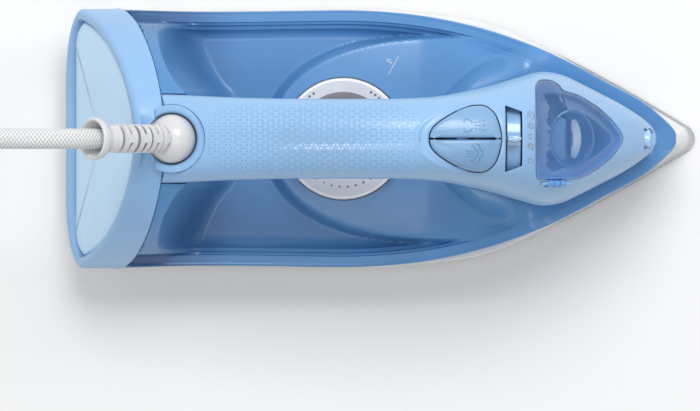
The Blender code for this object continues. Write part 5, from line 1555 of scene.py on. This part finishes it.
def make_skirt():
    rings = []
    for height, inset in ((SOLE_THICK + GAP, 0.5), (SOLE_THICK + GAP + 0.5, 0.0), (6.0, 0.0), (9.0, 0.0),
            (12.0, 0.0), (15.0, 0.0),
                          (17.2, 0.0), (18.0, 0.35), (18.45, 0.9), (SHIELD_TOP, 1.7)):
        front = SHIELD_TIP - 7.0 * height / SHIELD_TOP - inset
        side = plan_fine(lambda x, h=height, i=inset: shield_half(x, h) - i, SHIELD_REAR + inset, front, 11.0)
        rings.append([(x, y, height) for x, y in side])
    skirt = loft("white_skirt", rings, SKIRT, 30.0)
    inner = []
    for height in (0.0, 9.0, 16.0):
        front = SHIELD_TIP - 7.0 * height / SHIELD_TOP - 7.0
        side = plan_fine(lambda x, h=height: shield_half(x, h) - 2.4, SHIELD_REAR + 2.4, front, 9.0, 40)
        inner.append([(x, y, height) for x, y in side])
    cut(skirt, loft("skirt_hollow", inner))
    for x, y, radius in ((DIAL_X, 0.0, 8.4), (57.5, 0.0, 5.0), (44.0, -11.0, 2.4), (96.0, 0.0, 2.4),
            (-104.0, 34.0, 2.4),
                         (-104.0, -34.0, 2.4), (-128.0, 50.0, 3.6), (-128.0, -50.0, 3.6)):
        cut(skirt, rod("hole", (x, y, 14.0), (x, y, 24.0), radius))
    shade(skirt, 30.0)
    place_piece(skirt, "iron", "heat_shield", slot="skirt_white")


STEAM_HOLES = ((112.0, 0.0), (96.0, 16.0), (96.0, -16.0), (72.0, 30.0), (72.0, -30.0), (44.0, 40.0),
    (44.0, -40.0),
               (10.0, 44.0), (10.0, -44.0), (-24.0, 44.0), (-24.0, -44.0))


def make_sole():
    """The steel sole with a rolled edge and countersunk steam holes."""
    rings = []
    for height, inset in ((0.0, 2.4), (0.08, 1.3), (0.35, 0.6), (0.8, 0.15), (1.2, 0.0), (1.7, 0.1),
            (SOLE_THICK, 0.5)):
        side = plan_fine(lambda x, i=inset: sole_half(x) - i, SOLE_REAR + inset, SOLE_TIP - inset, 9.0)
        rings.append([(x, y, height) for x, y in side])
    plate = loft("steel_sole", rings, SOLE, 35.0)
    for x, y in STEAM_HOLES:
        profile = [(0.0, -1.0), (2.5, -1.0), (2.3, 0.15), (1.6, 0.75), (1.6, 4.0), (0.0, 4.0)]
        cut(plate, turned("hole", profile, None, 40, Matrix.Translation((x, y, 0.0))))
    shade(plate, 35.0)
    place_piece(plate, "iron", "soleplate", slot="soleplate")


CORD_ROUTE = (
    (-127.0, 0.0, 147.6), (-134.3, 0.0, 152.9), (-141.0, 0.0, 156.9), (-147.9, 0.0, 159.4),
    (-155.1, 0.0, 160.6),
    (-162.5, 0.0, 160.6), (-169.7, 0.0, 159.4), (-176.5, 0.0, 156.9), (-182.9, 0.0, 153.2),
    (-188.5, 0.0, 148.5),
    (-193.2, -0.1, 142.9), (-196.9, -0.3, 136.5), (-199.4, -0.7, 129.7), (-200.8, -1.4, 121.4),
    (-201.4, -3.2, 110.0),
    (-201.6, -6.2, 97.0), (-202.2, -11.0, 84.0), (-204.0, -17.8, 71.0), (-208.0, -26.4, 57.0),
    (-214.2, -35.6, 44.0),
    (-222.3, -43.9, 33.2), (-231.5, -50.6, 25.0),
)
TAIL_ROUTE = (
    (-298.6, -50.6, 9.2), (-305.5, -49.3, 11.3), (-312.5, -47.9, 13.4), (-319.5, -46.5, 15.5),
    (-326.5, -45.2, 17.2),
    (-332.5, -44.3, 18.3), (-336.8, -44.0, 18.65),
)


def coil_points():
    """The coil's turns, clockwise from above: three on top going in, then three on the floor coming out.

    Each entry is an angle, a radius and a height. Long stretches ease from one ring to the next."""
    inner, middle, outer = 38.1, 47.7, 57.3
    high, low = 15.6, 6.1
    keys = [(75.3, 57.0, 20.6), (86.0, outer, 17.6), (97.0, outer, 15.95), (108.0, outer, high),
        (300.0, outer, high),
            (450.0, middle, high), (660.0, middle, high), (810.0, inner, high), (925.0, inner, high),
            (1055.0, inner, low),
            (1175.0, inner, low), (1325.0, middle, low), (1535.0, middle, low), (1685.0, outer, low),
            (1900.0, outer, low),
            (1914.0, 59.0, 6.15), (1923.1, 62.3, 7.1)]
    spots = []
    for (a0, r0, z0), (a1, r1, z1) in zip(keys, keys[1:]):
        steps = max(1, round((a1 - a0) / 7.5))
        for k in range(steps):
            t = k / steps
            e = float(smooth(t)) if a1 - a0 > 90.0 else t
            angle = math.radians(-(a0 + (a1 - a0) * t))
            r = r0 + (r1 - r0) * e
            spots.append((COIL_CENTRE[0] + r * math.cos(angle), COIL_CENTRE[1] + r * math.sin(angle),
                z0 + (z1 - z0) * e))
    return spots


def cord_line():
    """The middle of the whole lead, a point every 3 mm."""
    spots = [Vector(p) for p in (*CORD_ROUTE, *coil_points(), *TAIL_ROUTE)]
    line = flowing(spots, 6)
    for _ in range(6):
        line = [line[0], *[(a + 2 * b + c) / 4 for a, b, c in zip(line, line[1:], line[2:])], line[-1]]
    run = [0.0]
    for a, b in zip(line, line[1:]):
        run.append(run[-1] + (b - a).length)
    wanted = np.linspace(0.0, run[-1], round(run[-1] / 3.0) + 1)
    cols = [np.interp(wanted, run, [p[i] for p in line]) for i in range(3)]
    return [Vector(p) for p in zip(*cols)], run[-1]


def make_lead():
    """The textile-covered lead from the guard to its tied coil and its plug."""
    line, length = cord_line()
    sides = 28
    points = []
    for point, (across, other) in zip(line, carried(line)):
        for k in range(sides):
            a = math.tau * k / sides
            points.append(point + CORD_RADIUS * (math.cos(a) * across + math.sin(a) * other))
    faces, lays = [], []
    step = length / (len(line) - 1)
    for i in range(len(line) - 1):
        for k in range(sides):
            j = (k + 1) % sides
            faces.append((i * sides + k, i * sides + j, (i + 1) * sides + j, (i + 1) * sides + k))
            lays += [(i * step, k / sides), (i * step, (k + 1) / sides), ((i + 1) * step, (k + 1) / sides),
                ((i + 1) * step, k / sides)]
    last = (len(line) - 1) * sides
    faces += [tuple(reversed(range(sides))), tuple(last + k for k in range(sides))]
    lays += [(0.0, 0.0)] * sides + [(length, 0.0)] * sides
    mesh = bpy.data.meshes.new("mains_lead")
    mesh.from_pydata((np.array(points) * MM).tolist(), [], faces)
    lay = mesh.attributes.new("lay", "FLOAT_VECTOR", "CORNER")
    lay.data.foreach_set("vector", np.column_stack([np.array(lays),
        np.zeros(len(lays))]).astype(np.float32).ravel())
    mesh.materials.append(BRAID)
    face_outwards(mesh)
    lead = link(bpy.data.objects.new("mains_lead", mesh))
    shade(lead, 60.0)
    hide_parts("mains_cord", "cord_coil", "cord_tail")
    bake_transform(lead)
    pieces = [make_tie(), *make_plug()]


def make_tie():
    """A hook-and-loop strap round the coil's turns."""
    x = COIL_CENTRE[0]
    high = COIL_LEVELS[1]
    outer = cornered([(COIL_INNER - 2.2, 0.2), (COIL_OUTER + 1.4, 0.2), (COIL_OUTER + 1.4, high + 1.4),
        (COIL_INNER - 2.2, high + 1.4)], 4.5, 8)
    inner = offset(outer, -1.1)
    tie = []
    for shape, push in ((outer, 5.0), (outer, -5.0), (inner, -5.0), (inner, 5.0)):
        tie.append([(x + push, y, z) for y, z in shape])
    points = np.array(tie).reshape(-1, 3)
    count, faces = len(outer), []
    for i in range(4):
        for k in range(count):
            j, n = (k + 1) % count, (i + 1) % 4
            faces.append((i * count + k, i * count + j, n * count + j, n * count + k))
    paint = Paint("strap", (226, 228, 230), 0.85, Sheen_Weight=0.4)
    weave = paint.node("ShaderNodeTexWave", wave_type="BANDS", bands_direction="X")
    weave.inputs["Scale"].default_value = 900.0
    paint.put(paint.place, weave.inputs["Vector"])
    paint.bump(weave.outputs["Fac"], 0.12)
    paint.bump(paint.noise(0.5, 3.0), 0.1)
    paint.tint(paint.noise(0.8, 3.0), (178, 181, 186), 0.5)
    obj = mesh_object("lead_strap", points, faces, paint.material, 40.0)
    soften(obj, 0.3, 2)
    return place_piece(obj, "lead", "cord_tie", slot="white_plastic")


def make_plug():
    """A round two-pin plug with a finger hollow, grip rings and a ribbed relief."""
    profile = [(0.0, -2.6), (4.9, -2.6), (5.3, -2.0), (5.5, 0.7)]
    for k in range(5):
        at = 1.2 + 3.7 * k
        r = 5.6 + 0.22 * k
        profile += [(r, at), (r, at + 2.1), (r - 0.7, at + 2.4), (r - 0.7, at + 3.4)]
    profile += [(6.7, 20.4), (7.4, 21.6), (9.4, 24.0), (12.6, 26.0), (15.6, 28.3), (17.4, 31.2),
        (18.2, 34.0), (18.45, 37.0)]
    for k in range(4):
        at = 38.0 + 3.2 * k
        profile += [(18.5, at), (18.5, at + 1.9), (18.05, at + 2.25), (18.05, at + 2.85)]
    profile += [(18.5, 51.2), (18.5, 57.6), (18.2, 58.9), (17.4, 59.8), (16.8, 60.0), (0.0, 60.0)]
    body = turned("plug_shell", profile, Paint("plug_white", (232, 232, 233), 0.4).moulded(0.6, 0.03, 0.05,
        0.34, 0.46).material, 96,
                  aimed(PLUG_AT, (-1, 0, 0)), angle=45.0)
    place_piece(body, "lead", "plug_body", slot="plug_white")
    made = [body]
    for side, name in ((1, "left"), (-1, "right")):
        at = PLUG_AT + Vector((0.0, side * PIN_APART / 2, 0.0))
        sleeve = turned(f"pin_sleeve_{name}", [(0.0, 59.6), (2.35, 59.6), (2.4, 59.9), (2.4, 69.6),
            (2.3, 69.8), (0.0, 69.8)], WHITE, 48,
                        aimed(at, (-1, 0, 0)))
        place_piece(sleeve, "lead", slot="plug_white")
        pin = turned(f"pin_{name}", [(0.0, 69.6), (2.3, 69.7), (2.3, 77.0), (2.1, 78.1), (1.5, 79.0),
            (0.8, 79.4), (0.0, 79.4)], NICKEL, 48,
                     aimed(at, (-1, 0, 0)))
        place_piece(pin, "lead", f"plug_pin_{name}", slot="pin_nickel")
        made += [sleeve, pin]
    return made


# ---------------------------------------------------------------- inner parts keep their CAD shapes

INNER_MATERIALS = {
    "heating_base": CAST, "chamber_cover": CAST, "heating_element": HEATER, "thermal_fuse": INNER,
    "thermostat": STEEL,
    "sole_screw_1": STEEL, "sole_screw_2": STEEL, "sole_screw_3": STEEL, "tank_bottom": TANK,
    "spindle_sleeve": INNER,
    "dial_spindle": STEEL, "heel_screw": STEEL, "terminal_block": INNER, "cord_clamp": INNER,
    "live_wire": LIVE,
    "neutral_wire": NEUTRAL, "earth_wire": EARTH, "socket_cup": INNER, "spray_plunger": INNER,
    "boost_plunger": INNER,
    "spray_piston": SILICONE, "boost_piston": SILICONE, "spray_pump": INNER, "boost_pump": INNER,
    "spray_spring": SPRING,
    "boost_spring": SPRING, "lever_pin": STEEL, "control_carrier": INNER, "dosing_needle": INNER,
    "dosing_valve": BRASS,
    "door_pin": DRUM, "door_seal": SILICONE, "filler_funnel": FUNNEL, "spray_nozzle": KNOB,
    "spray_hose": SILICONE,
    "boost_hose": SILICONE, "suction_hose": SILICONE,
}


def paint_inner_parts():
    for name, material in INNER_MATERIALS.items():
        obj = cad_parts[name]
        obj.data.materials.clear()
        obj.data.materials.append(material)


# ---------------------------------------------------------------- floor, light and camera


def make_stage():
    floor = mesh_object("floor", [(-3000, -3000, -0.05), (3000, -3000, -0.05), (3000, 3000, -0.05),
        (-3000, 3000, -0.05)], [(0, 1, 2, 3)], None, 0)
    paint = Paint("floor_white", (239, 239, 238), 0.85)
    paint.shader.inputs["Specular IOR Level"].default_value = 0.1
    paint.tint(paint.noise(700.0, 2.0), (236, 236, 236), 0.5)
    floor.data.materials.append(paint.material)


def area_light(name, place, target, size, power, colour=(1, 1, 1)):
    data = bpy.data.lights.new(name, "AREA")
    data.shape = "RECTANGLE"
    data.size, data.size_y = size
    data.energy = power
    data.color = colour
    obj = link(bpy.data.objects.new(name, data))
    obj.location = place
    obj.rotation_euler = (Vector(target) - Vector(place)).to_track_quat("-Z", "Y").to_euler()
    return obj


def make_light():
    world = bpy.data.worlds.new("studio")
    bpy.context.scene.world = world
    world.use_nodes = True
    tree = world.node_tree
    sky = tree.nodes["Background"]
    sky.inputs["Color"].default_value = (0.97, 0.98, 1.0, 1.0)
    towards = tree.nodes.new("ShaderNodeTexCoord")
    lean = tree.nodes.new("ShaderNodeVectorMath")
    lean.operation = "DOT_PRODUCT"
    lean.inputs[1].default_value = (-0.12, 0.14, 0.0)
    level = tree.nodes.new("ShaderNodeMath")
    level.inputs[1].default_value = 0.62
    tree.links.new(towards.outputs["Generated"], lean.inputs[0])
    tree.links.new(lean.outputs["Value"], level.inputs[0])
    tree.links.new(level.outputs[0], sky.inputs["Strength"])
    area_light("key", (0.15, 0.78, 1.5), (0, 0, 0.03), (0.9, 0.6), 16.0)
    area_light("strip", (-0.05, -0.31, 1.5), (-0.03, 0, 0.1), (1.1, 0.2), 2.6)


def make_camera():
    data = bpy.data.cameras.new("camera")
    data.sensor_width = 36.0
    data.lens = 168.4
    data.shift_y = -0.0954
    data.clip_start, data.clip_end = 0.05, 20.0
    camera = link(bpy.data.objects.new("camera", data))
    camera.location = (-0.0158, 0.0, 1.6)
    bpy.context.scene.camera = camera
    bpy.context.scene.view_settings.view_transform = "Standard"


make_camera()
make_light()
make_stage()
make_lead()
make_guard()
make_sole()
make_skirt()
make_tank()
make_level_mark()
make_dial()
make_heel()
make_handle_bottom()
make_handle_top()
make_grip_studs()
make_filling()
make_door()
make_buttons()
make_steam_lever()
make_control_marks()
paint_inner_parts()
